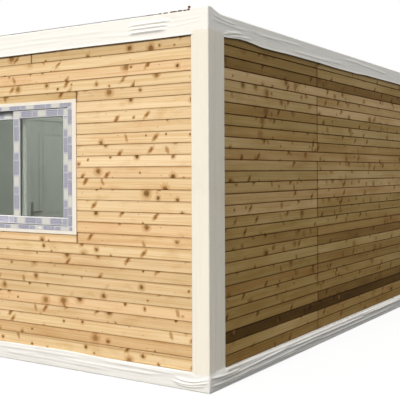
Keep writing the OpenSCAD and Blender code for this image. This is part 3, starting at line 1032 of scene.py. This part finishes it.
BOTTOM_FOLDS = {
    "front": [
        Fold(-0.01, 0.30, 0.112, 0.086, 0.0075, 0.0109, -0.026),
        Fold(-0.01, 0.33, 0.088, 0.058, 0.0070, 0.0105, -0.024),
        Fold(0.02, 0.30, 0.058, 0.040, 0.0060, 0.0080, -0.016),
        Fold(0.24, 1.05, 0.104, 0.118, 0.0090, 0.0034, 0.004),
        Fold(0.40, 1.50, 0.078, 0.086, 0.0090, 0.0030, -0.005),
        Fold(0.80, 2.20, 0.050, 0.062, 0.0100, 0.0026, 0.006),
        Fold(1.10, 2.60, 0.112, 0.096, 0.0090, 0.0028, 0.006),
    ],
    "right": [
        Fold(-0.01, 0.42, 0.114, 0.100, 0.0075, 0.0085, -0.008),
        Fold(0.08, 1.30, 0.072, 0.104, 0.0085, 0.0125, 0.003),
        Fold(-0.01, 0.70, 0.050, 0.064, 0.0075, 0.0110, -0.010),
        Fold(0.30, 2.10, 0.044, 0.074, 0.0085, 0.0120, -0.004),
        Fold(0.02, 1.60, 0.026, 0.036, 0.0075, 0.0100, 0.003),
        Fold(1.10, 3.20, 0.094, 0.080, 0.0085, 0.0110, 0.004),
        Fold(1.60, 4.20, 0.052, 0.046, 0.0080, 0.0095, -0.004),
        Fold(2.80, 5.40, 0.100, 0.092, 0.0090, 0.0098, 0.004),
    ],
    "back": [],
    "left": [],
}

draw_folds = random.Random(41)
for side, half in WALL_HALF.items():
    seen = side in SEEN_WALLS
    TOP_FOLDS[side] += loose_folds(
        draw_folds, 2 * half, 2.63, 2.75, round(half * (1 if seen else 5)), 0.6 if seen else 1.0
    )
    BOTTOM_FOLDS[side] += loose_folds(
        draw_folds, 2 * half, 0.03, 0.12, round(half * (4 if seen else 9)),
        0.5 if side == "front" else 1.4,
    )

# The film's wavy edges, as (distance from the corner, height)
TOP_FILM_FOOT = {
    "front": [(0, 2.603), (0.5, 2.600), (1.2, 2.601), (2.1, 2.598), (2.99, 2.602)],
    "right": [
        (0, 2.603), (0.22, 2.602), (0.50, 2.617), (0.88, 2.600), (1.4, 2.606), (1.9, 2.607),
        (2.4, 2.602), (2.8, 2.603), (3.2, 2.613), (4.2, 2.617), (5.2, 2.606), (6.06, 2.602),
    ],
    "back": [(0, 2.602), (0.7, 2.611), (1.5, 2.600), (2.3, 2.609), (2.99, 2.603)],
    "left": [
        (0, 2.602), (0.6, 2.612), (1.3, 2.601), (2.2, 2.610), (3.3, 2.602), (4.4, 2.612),
        (5.3, 2.600), (6.06, 2.603),
    ],
}
BOTTOM_FILM_HEAD = {
    "front": [
        (0, 0.142), (0.45, 0.139), (0.95, 0.143), (1.35, 0.151), (1.9, 0.147), (2.4, 0.140),
        (2.99, 0.142),
    ],
    "right": [(0, 0.1425), (0.6, 0.139), (1.3, 0.130), (3.6, 0.129), (5.2, 0.136), (6.06, 0.142)],
    "back": [(0, 0.142), (0.8, 0.133), (1.7, 0.144), (2.99, 0.141)],
    "left": [(0, 0.142), (1.1, 0.131), (2.6, 0.141), (4.2, 0.130), (6.06, 0.142)],
}

# How far the film on each bottom rail stands out, slack, at its fullest
BELLY = {"front": 0.0020, "right": 0.0200, "back": 0.0080, "left": 0.0160}


class Station:
    """A place on the plan round the cabin: its wall, its normal, its distance from the nearest
    corner, and t, its distance from the corner that folds are measured from."""

    def __init__(self, side, x, place, normal, corner):
        self.side, self.place, self.normal, self.corner = side, place, normal, corner
        self.t = from_meeting_corner(side, x)

    def at(self, inset, z):
        """A point inwards from the frame's outer face, at a height."""
        flat = self.place - self.normal * inset
        return Vector((flat.x, flat.y, z))


def plan_stations():
    """Stations all round the cabin, closer together near the corners and on the seen walls."""
    stations = []
    for side, half in WALL_HALF.items():
        place_on = wall_matrix(side)
        turn = place_on.to_3x3()
        outwards = (turn @ Vector((0, -1, 0))).to_2d()
        step_size = FINE_STEP if side in SEEN_WALLS else COARSE_STEP
        x = CORNER_RADIUS - half
        while True:
            corner = max(half - abs(x), CORNER_RADIUS)
            place = (place_on @ Vector((x, 0, 0))).to_2d()
            stations.append(Station(side, x, place, outwards, corner))
            if x >= half - CORNER_RADIUS - 1e-6:
                break
            step = mix(0.006, step_size, smooth((half - abs(x)) / 0.5))
            x = min(x + step, half - CORNER_RADIUS)
        middle = (place_on @ Vector((half - CORNER_RADIUS, CORNER_RADIUS, 0))).to_2d()
        along = (turn @ Vector((1, 0, 0))).to_2d()
        for part in range(1, CORNER_PARTS):
            angle = math.radians(90 * part / CORNER_PARTS)
            normal = outwards * math.cos(angle) + along * math.sin(angle)
            place = middle + normal * CORNER_RADIUS
            stations.append(Station(side, half, place, normal, CORNER_RADIUS))
    return stations


STATIONS = plan_stations()


# How long the film's slope down from a corner block is, on an end rail and on a side rail
END_SLOPE, SIDE_SLOPE = 0.045, 0.165


def top_of_film(station):
    """Height of the top rail under the film, with the drape down from the corner's rim."""
    if station.side in ENDS:
        share = smooth((station.corner - POST_END) / END_SLOPE)
        return mix(BLOCK_TOP, END_TOP, share)
    share = clamp((station.corner - BLOCK_RIM) / SIDE_SLOPE)
    return mix(SIDE_TOP, BLOCK_TOP, (1 - share) ** 1.7)


def past_post(station):
    """0 on a corner post's face, 1 beyond it."""
    post = POST_END if station.side in ENDS else POST_SIDE
    return smooth((station.corner - post) / 0.03 + 0.5)


def crumple(place, size, height):
    """Small dents and bumps of the film at a point."""
    return height * noise.fractal(Vector(place) * size, 0.8, 2.1, 3)


def ring_of_film(name, sections, material):
    """Joins the section at each station into one sheet round the cabin, and thickens it."""
    shape = Shape()
    shape.rows(sections, ring=True)
    return thicken(finish(name, shape, material))


def thicken(piece):
    """Gives a sheet of film its thickness, outwards."""
    modifier = piece.modifiers.new("thickness", "SOLIDIFY")
    modifier.thickness = FILM_THICKNESS
    modifier.offset = 1.0
    mesh = evaluated_mesh(piece)
    piece.modifiers.clear()
    piece.data = mesh
    mesh.shade_smooth()
    return piece


def top_film():
    """One band round the top rails: it hangs over the boarding and folds over the rails."""
    round_rows, fold_rows = 3, 5
    sections = []
    for station in STATIONS:
        foot = along_points(TOP_FILM_FOOT[station.side], station.t)
        head = top_of_film(station) + FILM_STAND
        fold = min(FOLD_DEPTH, station.corner)
        row = []
        for step in range(FACE_ROWS):
            z = mix(foot, head - EDGE_RADIUS, step / (FACE_ROWS - 1))
            rise = crumple(station.at(0, z), 6.0, 0.0008) + FILM_SLACK
            rise += sum(crease.rise(station.t, z) for crease in TOP_FOLDS[station.side])
            # Its lower edge curls out over the boards, and lies flat on a post's film
            hem = HEM * past_post(station) * (1 - smooth((z - foot) / 0.020))
            rise *= mix(smooth((z - foot) / 0.035), 1.0, past_post(station))
            row.append(station.at(-FILM_STAND - max(rise, 0.0) - hem, z))
        # Round the rail's top edge, starting from where the face ended, and over the rail
        outer = (row[-1].to_2d() - station.place).dot(station.normal)
        for step in range(1, round_rows + 1):
            angle = math.pi / 2 * step / round_rows
            inset = -outer + EDGE_RADIUS * (1 - math.cos(angle)) + outer * step / round_rows
            row.append(station.at(inset, head - EDGE_RADIUS + EDGE_RADIUS * math.sin(angle)))
        for step in range(1, fold_rows + 1):
            inset = mix(EDGE_RADIUS, max(fold, EDGE_RADIUS), step / fold_rows)
            lift = max(crumple(station.at(inset, head), 11.0, 0.0014), -0.0002)
            row.append(station.at(inset, head + lift * smooth((station.corner - 0.01) / 0.1)))
        sections.append(row)
    return ring_of_film("film_top_rails", sections, RAIL_WRAP)


def bottom_film():
    """One band round the bottom rails, from just over the ground to the lowest boards."""
    sections = []
    for station in STATIONS:
        head = along_points(BOTTOM_FILM_HEAD[station.side], station.t)
        head += POST_LAP * (1 - past_post(station))
        belly = BELLY[station.side] * smooth(station.corner / 0.25 + 0.25)
        row = []
        for step in range(FACE_ROWS):
            z = mix(BOTTOM_FILM_FOOT, head, step / (FACE_ROWS - 1))
            rise = crumple(station.at(0, z), 7.0, 0.0016) + FILM_SLACK
            rise += belly * smooth(z / 0.150) * smooth((head - z) / 0.008)
            rise += sum(crease.rise(station.t, z) for crease in BOTTOM_FOLDS[station.side])
            # It is calm near its two edges, and over half its height where it laps a post
            flat = mix(0.070, 0.008, past_post(station))
            calm = smooth((head - z) / flat) * mix(0.35, 1.0, smooth(z / 0.030))
            row.append(station.at(-FILM_STAND - max(rise * calm, 0.0), z))
        sections.append(row)
    return ring_of_film("film_bottom_rails", sections, BOTTOM_WRAP)


def post_path():
    """Points (x, y, depth) round a post from its outer corner: where, and how far tucked in."""
    side_steps, end_steps = 26, 18
    path = [(0.0, POST_SIDE, mix(TUCK_IN, 0.0, step / 2)) for step in range(3)]
    for step in range(1, side_steps + 1):
        path.append((0.0, mix(POST_SIDE, CORNER_RADIUS, step / side_steps), 0.0))
    for part in range(1, CORNER_PARTS):
        angle = math.radians(90 * part / CORNER_PARTS)
        path.append((
            CORNER_RADIUS * (1 - math.cos(angle)), CORNER_RADIUS * (1 - math.sin(angle)), 0.0
        ))
    for step in range(end_steps + 1):
        path.append((mix(CORNER_RADIUS, POST_END, step / end_steps), 0.0, 0.0))
    path += [(POST_END, 0.0, mix(0.0, TUCK_IN, step / 2)) for step in range(1, 3)]
    return path


def post_film(name, number, x_sign, y_sign):
    """A sheet round the two faces of a corner post, pulled into fine upright pleats."""
    draw = random.Random(100 + number)
    low, high = RAIL_TOP - TUCK_DOWN, WALL_TOP + TUCK_UP
    path = post_path()
    pleats = [
        (draw.uniform(0.0, 0.36), draw.uniform(0.004, 0.009), draw.uniform(0.0006, 0.0018),
         draw.uniform(0.2, 0.8), draw.uniform(0.0, 6.0))
        for _ in range(PLEATS)
    ]
    rows = []
    for level in range(POST_LEVELS + 1):
        z = mix(low, high, level / POST_LEVELS)
        row = []
        walked = 0.0
        previous = None
        for x, y, deep in path:
            here = Vector((x, y))
            walked += (here - previous).length if previous is not None else 0.0
            previous = here
            on_side, on_end = x < 1e-6, y < 1e-6
            normal = Vector((-1.0 if on_side else 0.0, -1.0 if on_end else 0.0))
            if not on_side and not on_end:
                normal = here - Vector((CORNER_RADIUS, CORNER_RADIUS))
            normal.normalize()
            rise = 0.0
            for place, width, height, rate, start in pleats:
                middle = place + 0.006 * math.sin(rate * z + start)
                off = (walked - middle) / width
                if abs(off) < 2.5:
                    rise += height * math.exp(-off * off) * (0.6 + 0.4 * math.sin(1.7 * z + start))
            rise += 0.0008 + crumple((x * 3, y * 3, z * 0.6 + number), 6.0, 0.0010)
            # Its ends lie flat under the rails' films, and its edges turn in at the boards
            free = smooth((high - z) / TUCK_TAPER) * smooth((z - low) / TUCK_TAPER)
            if deep > 0 and RAIL_TOP < z < WALL_TOP:
                inwards = deep - 0.001
                if x > CORNER_RADIUS:
                    spot = Vector((POST_END + 0.0008, inwards))
                else:
                    spot = Vector((inwards, POST_SIDE + 0.0008))
            else:
                spot = here + normal * (mix(0.0001, FILM_STAND, free) + max(rise, 0.0) * free)
            row.append((x_sign * (HALF_WIDTH - spot.x), y_sign * (HALF_LENGTH - spot.y), z))
        rows.append(row)
    shape = Shape()
    shape.rows(rows)
    return finish(name, shape, POST_WRAP)


def face_outwards(piece, outwards):
    """Turns an open sheet's faces so that they point away from the cabin."""
    mesh = piece.data
    if sum(face.area * face.normal.dot(outwards(face.center)) for face in mesh.polygons) < 0:
        mesh.flip_normals()


def away(place):
    """The direction away from the nearest wall of the cabin, on plan."""
    if HALF_WIDTH - abs(place.x) < HALF_LENGTH - abs(place.y):
        return Vector((math.copysign(1, place.x), 0, 0))
    return Vector((0, math.copysign(1, place.y), 0))


def hang_film():
    """Makes every sheet of film and fixes it."""
    top = top_film()
    fix(top, "film", "top_rail_film")
    bottom = bottom_film()
    fix(bottom, "film", "bottom_rail_film")
    for number, (signs, corner) in enumerate(CORNERS.items()):
        piece = post_film("film_post_" + corner, number, *signs)
        face_outwards(piece, away)
        thicken(piece)
        fix(piece, "film", "post_film")


hang_film()


# Windows, door and roof


def tape_strips(shape, low, high, side_face, rail_face, margin, phases):
    """Four strips of tape on a frame's face: the level ones run out over the mitred corners.

    The phases say where the print starts on the left, right, lower and upper strips."""
    face, thick, gap = low.y, 0.0006, 0.002
    lows, highs = low.z + rail_face + gap, high.z - rail_face - gap
    for x, wide, phase in (
        (low.x, side_face[0], phases[0]), (high.x - side_face[1], side_face[1], phases[1])
    ):
        shape.block(
            (x + margin, face - thick, lows), (x + wide - margin, face, highs), 0.0002, 2, phase
        )
    left, right = low.x + margin, high.x - margin
    for z, phase in ((low.z, phases[2]), (high.z - rail_face, phases[3])):
        shape.block(
            (left, face - thick, z + margin), (right, face, z + rail_face - margin),
            0.0002, 0, phase,
        )


FRAME_SIDE_FACE, FRAME_RAIL_FACE = 0.050, 0.038
SASH_SIDE_FACE, SASH_RAIL_FACE, SASH_MEETING_FACE = 0.052, 0.060, 0.068
GASKET = 0.0045
GASKET_DEPTH = 0.0035
BEAD = 0.0030
FRAME_PHASES = (0.30, 0.12, 0.45, 0.80)
OUTER_SASH_PHASES = (0.55, 0.92, 0.20, 0.35)
INNER_SASH_PHASES = (0.10, 0.66, 0.5, 0.9)
# Depths of the black strips that paint the shade in the gaps over and under the sashes
GAP_SHADE_STRIPS = ((0.0130, 0.0190), (0.0600, 0.0660))
DRAIN_CAPS = (0.30, 0.72)
SCREW_HEAD = ((0.0, 0.0070), (0.4, 0.0070), (1.0, 0.0052))


def dress_window(side):
    """Tape, gaskets, beads, screws, drain caps, finger pulls, and black strips of painted shade in the
    sashes' gaps, for an end wall's window.
    """
    place = wall_matrix(side)
    low, high = wall_box(side, side + "_window_frame")
    sashes, panes = [
        sorted(
            (wall_box(side, f"{side}_window_{hand}_{kind}") for hand in ("left", "right")),
            key=lambda box: box[0].y,
        )
        for kind in ("sash", "glass")
    ]
    tape, inner_tape = Shape(), Shape()
    tape_strips(
        tape, low, high, (FRAME_SIDE_FACE, FRAME_SIDE_FACE), FRAME_RAIL_FACE, 0.002,
        FRAME_PHASES,
    )
    gaskets_and_gap_shade, metal, plastic = Shape(), Shape(), Shape()
    for outer, (sash_low, sash_high), (pane_low, pane_high) in zip((True, False), sashes, panes):
        jamb_right = sash_low.x + sash_high.x > low.x + high.x
        faces = (SASH_MEETING_FACE, SASH_SIDE_FACE)
        if not jamb_right:
            faces = faces[::-1]
        tape_strips(
            tape if outer else inner_tape, sash_low, sash_high, faces, SASH_RAIL_FACE, 0.003,
            OUTER_SASH_PHASES if outer else INNER_SASH_PHASES,
        )
        # Rubber round the pane, outside and inside, and a bead in front of the outer one
        open_low = (sash_low.x + faces[0], sash_low.z + SASH_RAIL_FACE)
        open_high = (sash_high.x - faces[1], sash_high.z - SASH_RAIL_FACE)
        outer_rubber = pane_low.y - GASKET_DEPTH
        for front, back in ((outer_rubber, pane_low.y), (pane_high.y, pane_high.y + GASKET_DEPTH)):
            gaskets_and_gap_shade.frame(open_low, open_high, GASKET, GASKET, front, back, 0.0010)
        plastic.frame(open_low, open_high, BEAD, BEAD, sash_low.y + BEAD, outer_rubber, 0.0010)
        # Screws in the foot, and a finger pull on the jamb stile
        foot = sash_low.z + SASH_RAIL_FACE / 2
        for x in (mix(open_low[0], open_high[0], 0.44), open_high[0] - 0.012):
            start = Vector((x, sash_low.y - 0.0006, foot))
            metal.lathe(start, start + Vector((0, -0.0022, 0)), SCREW_HEAD, 16)
        pull_x = (sash_high.x - SASH_SIDE_FACE / 2) if jamb_right else (sash_low.x + SASH_SIDE_FACE / 2)
        middle = mix(sash_low.z, sash_high.z, 0.5)
        plastic.block(
            (pull_x - 0.011, sash_high.y, middle - 0.060),
            (pull_x + 0.011, sash_high.y + 0.007, middle + 0.060), 0.0030,
        )
    # Black strips fill the gap under and over each sash, in both tracks: painted shade of the gaps
    for z in (sashes[0][0].z - 0.0065, sashes[0][1].z + 0.0005):
        for front, back in GAP_SHADE_STRIPS:
            gaskets_and_gap_shade.block(
                (low.x + FRAME_SIDE_FACE, front, z), (high.x - FRAME_SIDE_FACE, back, z + 0.006),
                0.0006,
            )
    # Drain caps on the frame
    for share in DRAIN_CAPS:
        x = mix(low.x, high.x, share)
        plastic.block(
            (x - 0.016, -0.0030, low.z + 0.012), (x + 0.016, 0.0, low.z + 0.024), 0.0012
        )
    fix(finish(side + "_window_tape", tape, TAPE, place), "film")
    fix(finish(side + "_window_inner_tape", inner_tape, TAPE, place), "film")
    # The gaskets' piece also holds the black strips of painted gap shade
    fix(finish(side + "_window_gaskets", gaskets_and_gap_shade, RUBBER, place), "handle_steel")
    fix(finish(side + "_window_screws", metal, STEEL, place, 40), "handle_steel")
    fix(finish(side + "_window_beads", plastic, PLASTIC, place), "upvc")


for side in ENDS:
    dress_window(side)


# A hinge's three knuckles, and the key cylinder: (share of the length, radius)
HINGE_PROFILE = (
    (0.0, 0.0040), (0.02, 0.0070), (0.32, 0.0070), (0.325, 0.0062), (0.335, 0.0062),
    (0.34, 0.0070), (0.66, 0.0070), (0.665, 0.0062), (0.675, 0.0062), (0.68, 0.0070),
    (0.98, 0.0070), (1.0, 0.0040),
)
CYLINDER_PROFILE = ((0.0, 0.0105), (0.3, 0.0105), (0.45, 0.0085), (1.0, 0.0080))
HINGE_SCREW = ((0.0, 0.0048), (0.5, 0.0042), (1.0, 0.0022))
MOULDING = 0.026


def dress_door():
    """Mouldings, hinges, seal, threshold and key cylinder of the door."""
    place = wall_matrix("left")
    low, high = wall_box("left", "door_frame")
    leaf_low, leaf_high = wall_box("left", "door_leaf")
    mouldings, seal, metal = Shape(), Shape(), Shape()
    waist = mix(leaf_low.z, leaf_high.z, 0.44)
    for bottom, top in ((leaf_low.z + 0.13, waist - 0.05), (waist + 0.05, leaf_high.z - 0.13)):
        for front, back in (
            (leaf_low.y - 0.0060, leaf_low.y + 0.001), (leaf_high.y - 0.001, leaf_high.y + 0.0045)
        ):
            mouldings.frame(
                (leaf_low.x + 0.13, bottom), (leaf_high.x - 0.14, top), MOULDING, MOULDING,
                front, back, 0.0040,
            )
            mouldings.block(
                (leaf_low.x + 0.19, front + 0.002, bottom + 0.06),
                (leaf_high.x - 0.20, back - 0.001, top - 0.06), 0.0015,
            )
    seal.frame(
        (leaf_low.x - 0.0028, leaf_low.z - 0.0028), (leaf_high.x + 0.0028, leaf_high.z + 0.0028),
        0.0026, 0.0026, leaf_low.y + 0.006, leaf_low.y + 0.016, 0.0004,
    )
    for z in (leaf_low.z + 0.22, mix(leaf_low.z, leaf_high.z, 0.55), leaf_high.z - 0.22):
        pin = Vector((leaf_low.x - 0.0015, leaf_low.y - 0.0075, z - 0.050))
        metal.lathe(pin, pin + Vector((0, 0, 0.100)), HINGE_PROFILE, 20)
        metal.block(
            (leaf_low.x + 0.002, leaf_low.y - 0.0025, z - 0.048),
            (leaf_low.x + 0.036, leaf_low.y, z + 0.048), 0.0008,
        )
        for dz in (-0.032, 0.0, 0.032):
            head = Vector((leaf_low.x + 0.021, leaf_low.y - 0.0024, z + dz))
            metal.lathe(head, head + Vector((0, -0.0018, 0)), HINGE_SCREW, 14)
    sill = low.z + 0.050
    metal.block((low.x + 0.050, 0.003, sill), (high.x - 0.050, 0.043, sill + 0.0020), 0.0006)
    for step in range(4):
        y = 0.008 + step * 0.009
        metal.block(
            (low.x + 0.052, y, sill + 0.0015), (high.x - 0.052, y + 0.003, sill + 0.0034), 0.0006
        )
    handle_low, handle_high = wall_box("left", "door_handles")
    cylinder = Vector((handle_high.x - 0.018, leaf_low.y - 0.0055, handle_low.z + 0.042))
    metal.lathe(cylinder, cylinder + Vector((0, -0.0050, 0)), CYLINDER_PROFILE)
    fix(finish("door_mouldings", mouldings, DOOR_SKIN, place), "upvc")
    fix(finish("door_seal", seal, RUBBER, place), "handle_steel")
    fix(finish("door_hinges_and_threshold", metal, STEEL, place, 40), "handle_steel")


dress_door()


def screw_blank():
    """A hexagon screw with a washer, standing on its tip."""
    shape = Shape()
    shape.lathe((0, 0, 0), (0, 0, 0.0022), [(0.0, 0.0100), (0.6, 0.0095), (1.0, 0.0070)], 14)
    shape.lathe((0, 0, 0.0020), (0, 0, 0.0075), [(0.0, 0.0055), (0.8, 0.0055), (1.0, 0.0044)], 6)
    return finish("screw blank", shape, ZINC)


def screw_driving_nodes():
    """Puts a screw at each point, each turned by a different amount."""
    group, tree = new_geometry_group(
        "drive screws", Blank="Object", Size="Float", Seed="Int", Finish="Material"
    )
    turn = tree.add(
        "FunctionNodeRandomValue", {"data_type": "FLOAT"},
        {"Min": 0.0, "Max": math.tau, "Seed": tree.given("Seed")}, 1,
    )
    tree.deliver(tree.copies(Rotation=tree.vector(0.0, 0.0, turn), Scale=tree.given("Size")))
    return group


RIB_PITCH = 0.250
SCREW_REACH = 1.26
SCREWS_ACROSS = 7


def screw_roof():
    """Screws along the crowns of the roof sheet's ribs."""
    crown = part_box("roof_sheeting")[1].z
    count = math.floor((2 * (HALF_LENGTH - POST_SIDE) - RIB_PITCH) / RIB_PITCH)
    places = []
    for rib in range(count):
        y = (rib - (count - 1) / 2) * RIB_PITCH
        for step in range(SCREWS_ACROSS):
            x = mix(-SCREW_REACH, SCREW_REACH, step / (SCREWS_ACROSS - 1))
            places.append((x, y, crown - 0.0003))
    piece = run_nodes(
        "roof_screws", point_cloud("screw places", places), screw_driving_nodes(),
        screw_blank(), ZINC, Size=1.0, Seed=5,
    )
    fix(piece, "galvanised")


screw_roof()


# Torn scraps of the strip along the roof's edge: where each starts and ends, and how tall it is
EDGE_SCRAPS = (
    (0.155, 0.178, 0.0100), (0.186, 0.212, 0.0062), (0.222, 0.262, 0.0078), (0.272, 0.330, 0.0070),
    (0.350, 0.392, 0.0046), (0.405, 0.436, 0.0040), (0.470, 0.545, 0.0030),
)


HOOK_HEIGHT = 0.029
HOOK_PROFILE = (
    (0.0, 0.0085), (0.30, 0.0060), (0.42, 0.0075), (0.70, 0.0110), (0.92, 0.0090), (1.0, 0.004),
)


def flash_end(side):
    """The roof's edge strip on an end rail, where the film has slipped off it, and its hook."""
    place = wall_matrix(side)
    way = 1 if side == "front" else -1
    edge = Shape()
    base = END_TOP + 0.0010
    front = -0.0042
    for start, end, tall in EDGE_SCRAPS:
        rows = []
        for step in range(7):
            share = step / 6
            x = way * (HALF_WIDTH - mix(start, end, share))
            height = tall * (0.55 + 0.45 * math.sin(math.pi * share)) + 0.0012 * (step % 2)
            rows.append([
                (x, front, base), (x, front, base + height),
                (x, front + 0.004, base + height + 0.001), (x, front + 0.012, base + height),
                (x, front + 0.012, base),
            ])
        edge.rows(rows, closed=True, capped=True)
    foot = Vector((way * (HALF_WIDTH - 0.160), 0.001, base + 0.002))
    edge.lathe(foot, foot + Vector((0, 0, HOOK_HEIGHT)), HOOK_PROFILE, 16)
    fix(finish(side + "_roof_edge_strip", edge, RUST, place, 40), "galvanised")
    lip = Shape()
    ends = sorted((way * (HALF_WIDTH - 0.44), -way * (HALF_WIDTH - 0.22)))
    lip.block((ends[0], -0.0030, base), (ends[1], 0.0050, base + 0.0042), 0.0008)
    fix(finish(side + "_roof_edge_lip", lip, ZINC, place), "galvanised")


for side in ENDS:
    flash_end(side)


# The room


SKIRTING, SKIRTING_THICKNESS = 0.070, 0.012
PANEL_JOINTS = (-1.725, -0.575, 0.575, 1.725)
COVE = (
    (0.0005, -0.050), (0.010, -0.050), (0.016, -0.046), (0.040, -0.016), (0.046, -0.010),
    (0.046, -0.0005), (0.0005, -0.0005),
)


def line_room():
    """Cornice, skirting and upright joint strips inside."""
    low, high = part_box("ceiling_panel")
    floor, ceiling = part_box("floor_deck")[1].z, low.z
    strips = Shape()
    corners = [(low.x, low.y, 1, 1), (high.x, low.y, -1, 1), (high.x, high.y, -1, -1),
               (low.x, high.y, 1, -1)]
    strips.rows(
        [
            [(x + x_way * inset, y + y_way * inset, ceiling + rise) for inset, rise in COVE]
            for x, y, x_way, y_way in corners
        ],
        closed=True, ring=True,
    )
    door_low, door_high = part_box("door_frame")
    top = floor + SKIRTING
    for x in (low.x + 0.0005, high.x - 0.0125):
        runs = [(low.y + 0.001, high.y - 0.001)]
        if x < 0:
            runs = [(low.y + 0.001, door_low.y), (door_high.y, high.y - 0.001)]
        for start, end in runs:
            strips.block((x, start, floor), (x + SKIRTING_THICKNESS, end, top), 0.003)
    for y in (low.y + 0.0005, high.y - 0.0125):
        strips.block(
            (low.x + 0.0125, y, floor), (high.x - 0.0125, y + SKIRTING_THICKNESS, top), 0.003
        )
    for y in PANEL_JOINTS:
        for x in (low.x + 0.0003, high.x - 0.0043):
            if x < 0 and door_low.y - 0.02 < y < door_high.y + 0.02:
                continue
            strips.block((x, y - 0.016, top), (x + 0.004, y + 0.016, ceiling - 0.050), 0.0012)
    fix(finish("room_cornice_and_skirting", strips, PLASTIC), "inner_white")


line_room()


# Finishes of the CAD nodes

OWN_FINISH = {"door_leaf": DOOR_SKIN}
for subpart in frame["record"]["subparts"]:
    name = subpart["node"]
    mesh = nodes[name].data
    mesh.materials.clear()
    mesh.materials.append(OWN_FINISH.get(name, SLOT_FINISH[subpart["material_slot"]]))


# Floor, light and camera

FLOOR_REACH = 60
FLOOR_GLOW = 0.86

# The sky brightens between these two slopes of a ray, from the first strength to the second
SKY_SLOPES = (-0.08, 0.45)
SKY_STRENGTHS = (0.13, 1.15)


def hide_from(thing, *rays):
    """Keeps a thing out of sight of some kinds of ray."""
    for ray in rays:
        setattr(thing, "visible_" + ray, False)


def white_floor():
    """A plain pale floor that glows a little, so it stays pale in the cabin's shadow."""
    material, tree = new_material("pale floor")
    mottle = tree.noise(tree.place(), 0.8, 4.0)
    pale = tree.mix(mottle, (0.80, 0.80, 0.80), (0.84, 0.84, 0.84))
    diffuse = tree.add("ShaderNodeBsdfDiffuse", None, {"Color": pale})
    glow = tree.add("ShaderNodeEmission", None, {"Color": (1, 1, 1, 1), "Strength": 1.0})
    both = tree.add("ShaderNodeMixShader", None, [FLOOR_GLOW, diffuse, glow])
    tree.add("ShaderNodeOutputMaterial", None, {"Surface": both})
    shape = Shape()
    edges = (-FLOOR_REACH, FLOOR_REACH)
    shape.rows([[(x, y, 0) for x in edges] for y in edges])
    floor = finish("floor", shape, material, outwards=False)
    hide_from(floor, "diffuse", "glossy", "transmission")


def studio_world():
    """A white backdrop to the camera. As a light it is dim below and bright overhead."""
    world = bpy.data.worlds.new("studio")
    scene.world = world
    world.use_nodes = True
    world.node_tree.nodes.clear()
    tree = Tree(world.node_tree)
    seen = tree.add("ShaderNodeLightPath", None, None, "Is Camera Ray")
    backdrop = tree.add("ShaderNodeBackground", None, {"Color": (1, 1, 1, 1), "Strength": 1.0})
    up = tree.parts(tree.add("ShaderNodeTexCoord", None, None, "Generated"))[2]
    brightness = tree.remap(up, *SKY_SLOPES, *SKY_STRENGTHS)
    fill = tree.add("ShaderNodeBackground", None, {"Color": (1, 1, 1, 1), "Strength": brightness})
    both = tree.add("ShaderNodeMixShader", None, [seen, fill, backdrop])
    tree.add("ShaderNodeOutputWorld", None, {"Surface": both})


def add_light(name, kind, energy, place=(0, 0, 0), turn=(0, 0, 0), **settings):
    """Adds a light at a place, turned by angles in degrees."""
    light = bpy.data.lights.new(name, kind)
    light.energy = energy
    for setting, value in settings.items():
        setattr(light, setting, value)
    holder = bpy.data.objects.new(name, light)
    holder.location = place
    holder.rotation_euler = [math.radians(angle) for angle in turn]
    scene.collection.objects.link(holder)
    return holder


def group_of(name, wanted):
    """A collection of the scene's meshes that pass a test on their names, to link lights with."""
    group = bpy.data.collections.new(name)
    for thing in scene.objects:
        if thing.type == "MESH" and wanted(thing.name):
            group.objects.link(thing)
    return group


def light_scene():
    """A soft sun, a lamp under the ceiling, and a light for what stands behind the panes."""
    # The sun shines through the panes: everything but them blocks it
    blockers = group_of("sun blockers", lambda name: not name.endswith("_glass"))
    sun = add_light(
        "sun", "SUN", energy=2.7, turn=(55, 0, 0), angle=math.radians(14),
        color=(1.0, 0.972, 0.935),
    )
    sun.light_linking.blocker_collection = blockers
    lamp = add_light(
        "room light", "AREA", energy=39, place=(0, 0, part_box("ceiling_panel")[0].z - 0.06),
        shape="RECTANGLE", size=2.2, size_y=5.0,
    )
    hide_from(lamp, "camera", "transmission", "glossy")
    inner = add_light(
        "light behind the panes", "SUN", energy=1.6, turn=(78, 0, 38), angle=math.radians(60)
    )
    behind = ("window_inner_tape", "window_left_sash", "room_cornice_and_skirting")
    inner.light_linking.blocker_collection = blockers
    inner.light_linking.receiver_collection = group_of(
        "behind the panes", lambda name: name.endswith(behind)
    )


# Where the camera stands, at eye height, the level way it looks and its roll in degrees
CAMERA_PLACE = (4.464, -7.767, 1.603)
CAMERA_WAY = (-0.540, 0.8415, 0)
CAMERA_ROLL = -0.25


def place_camera():
    """A level camera with its picture shifted, so that uprights stay parallel."""
    camera = bpy.data.cameras.new("camera")
    camera.lens = 70
    camera.sensor_width = 36
    camera.shift_y = -0.071
    camera.clip_end = 200
    holder = bpy.data.objects.new("camera", camera)
    look = Vector(CAMERA_WAY).to_track_quat("-Z", "Y").to_matrix().to_4x4()
    roll = Matrix.Rotation(math.radians(CAMERA_ROLL), 4, "Z")
    holder.matrix_world = Matrix.Translation(CAMERA_PLACE) @ look @ roll
    scene.collection.objects.link(holder)
    scene.camera = holder


white_floor()
studio_world()
light_scene()
place_camera()
scene.view_settings.view_transform = "Standard"
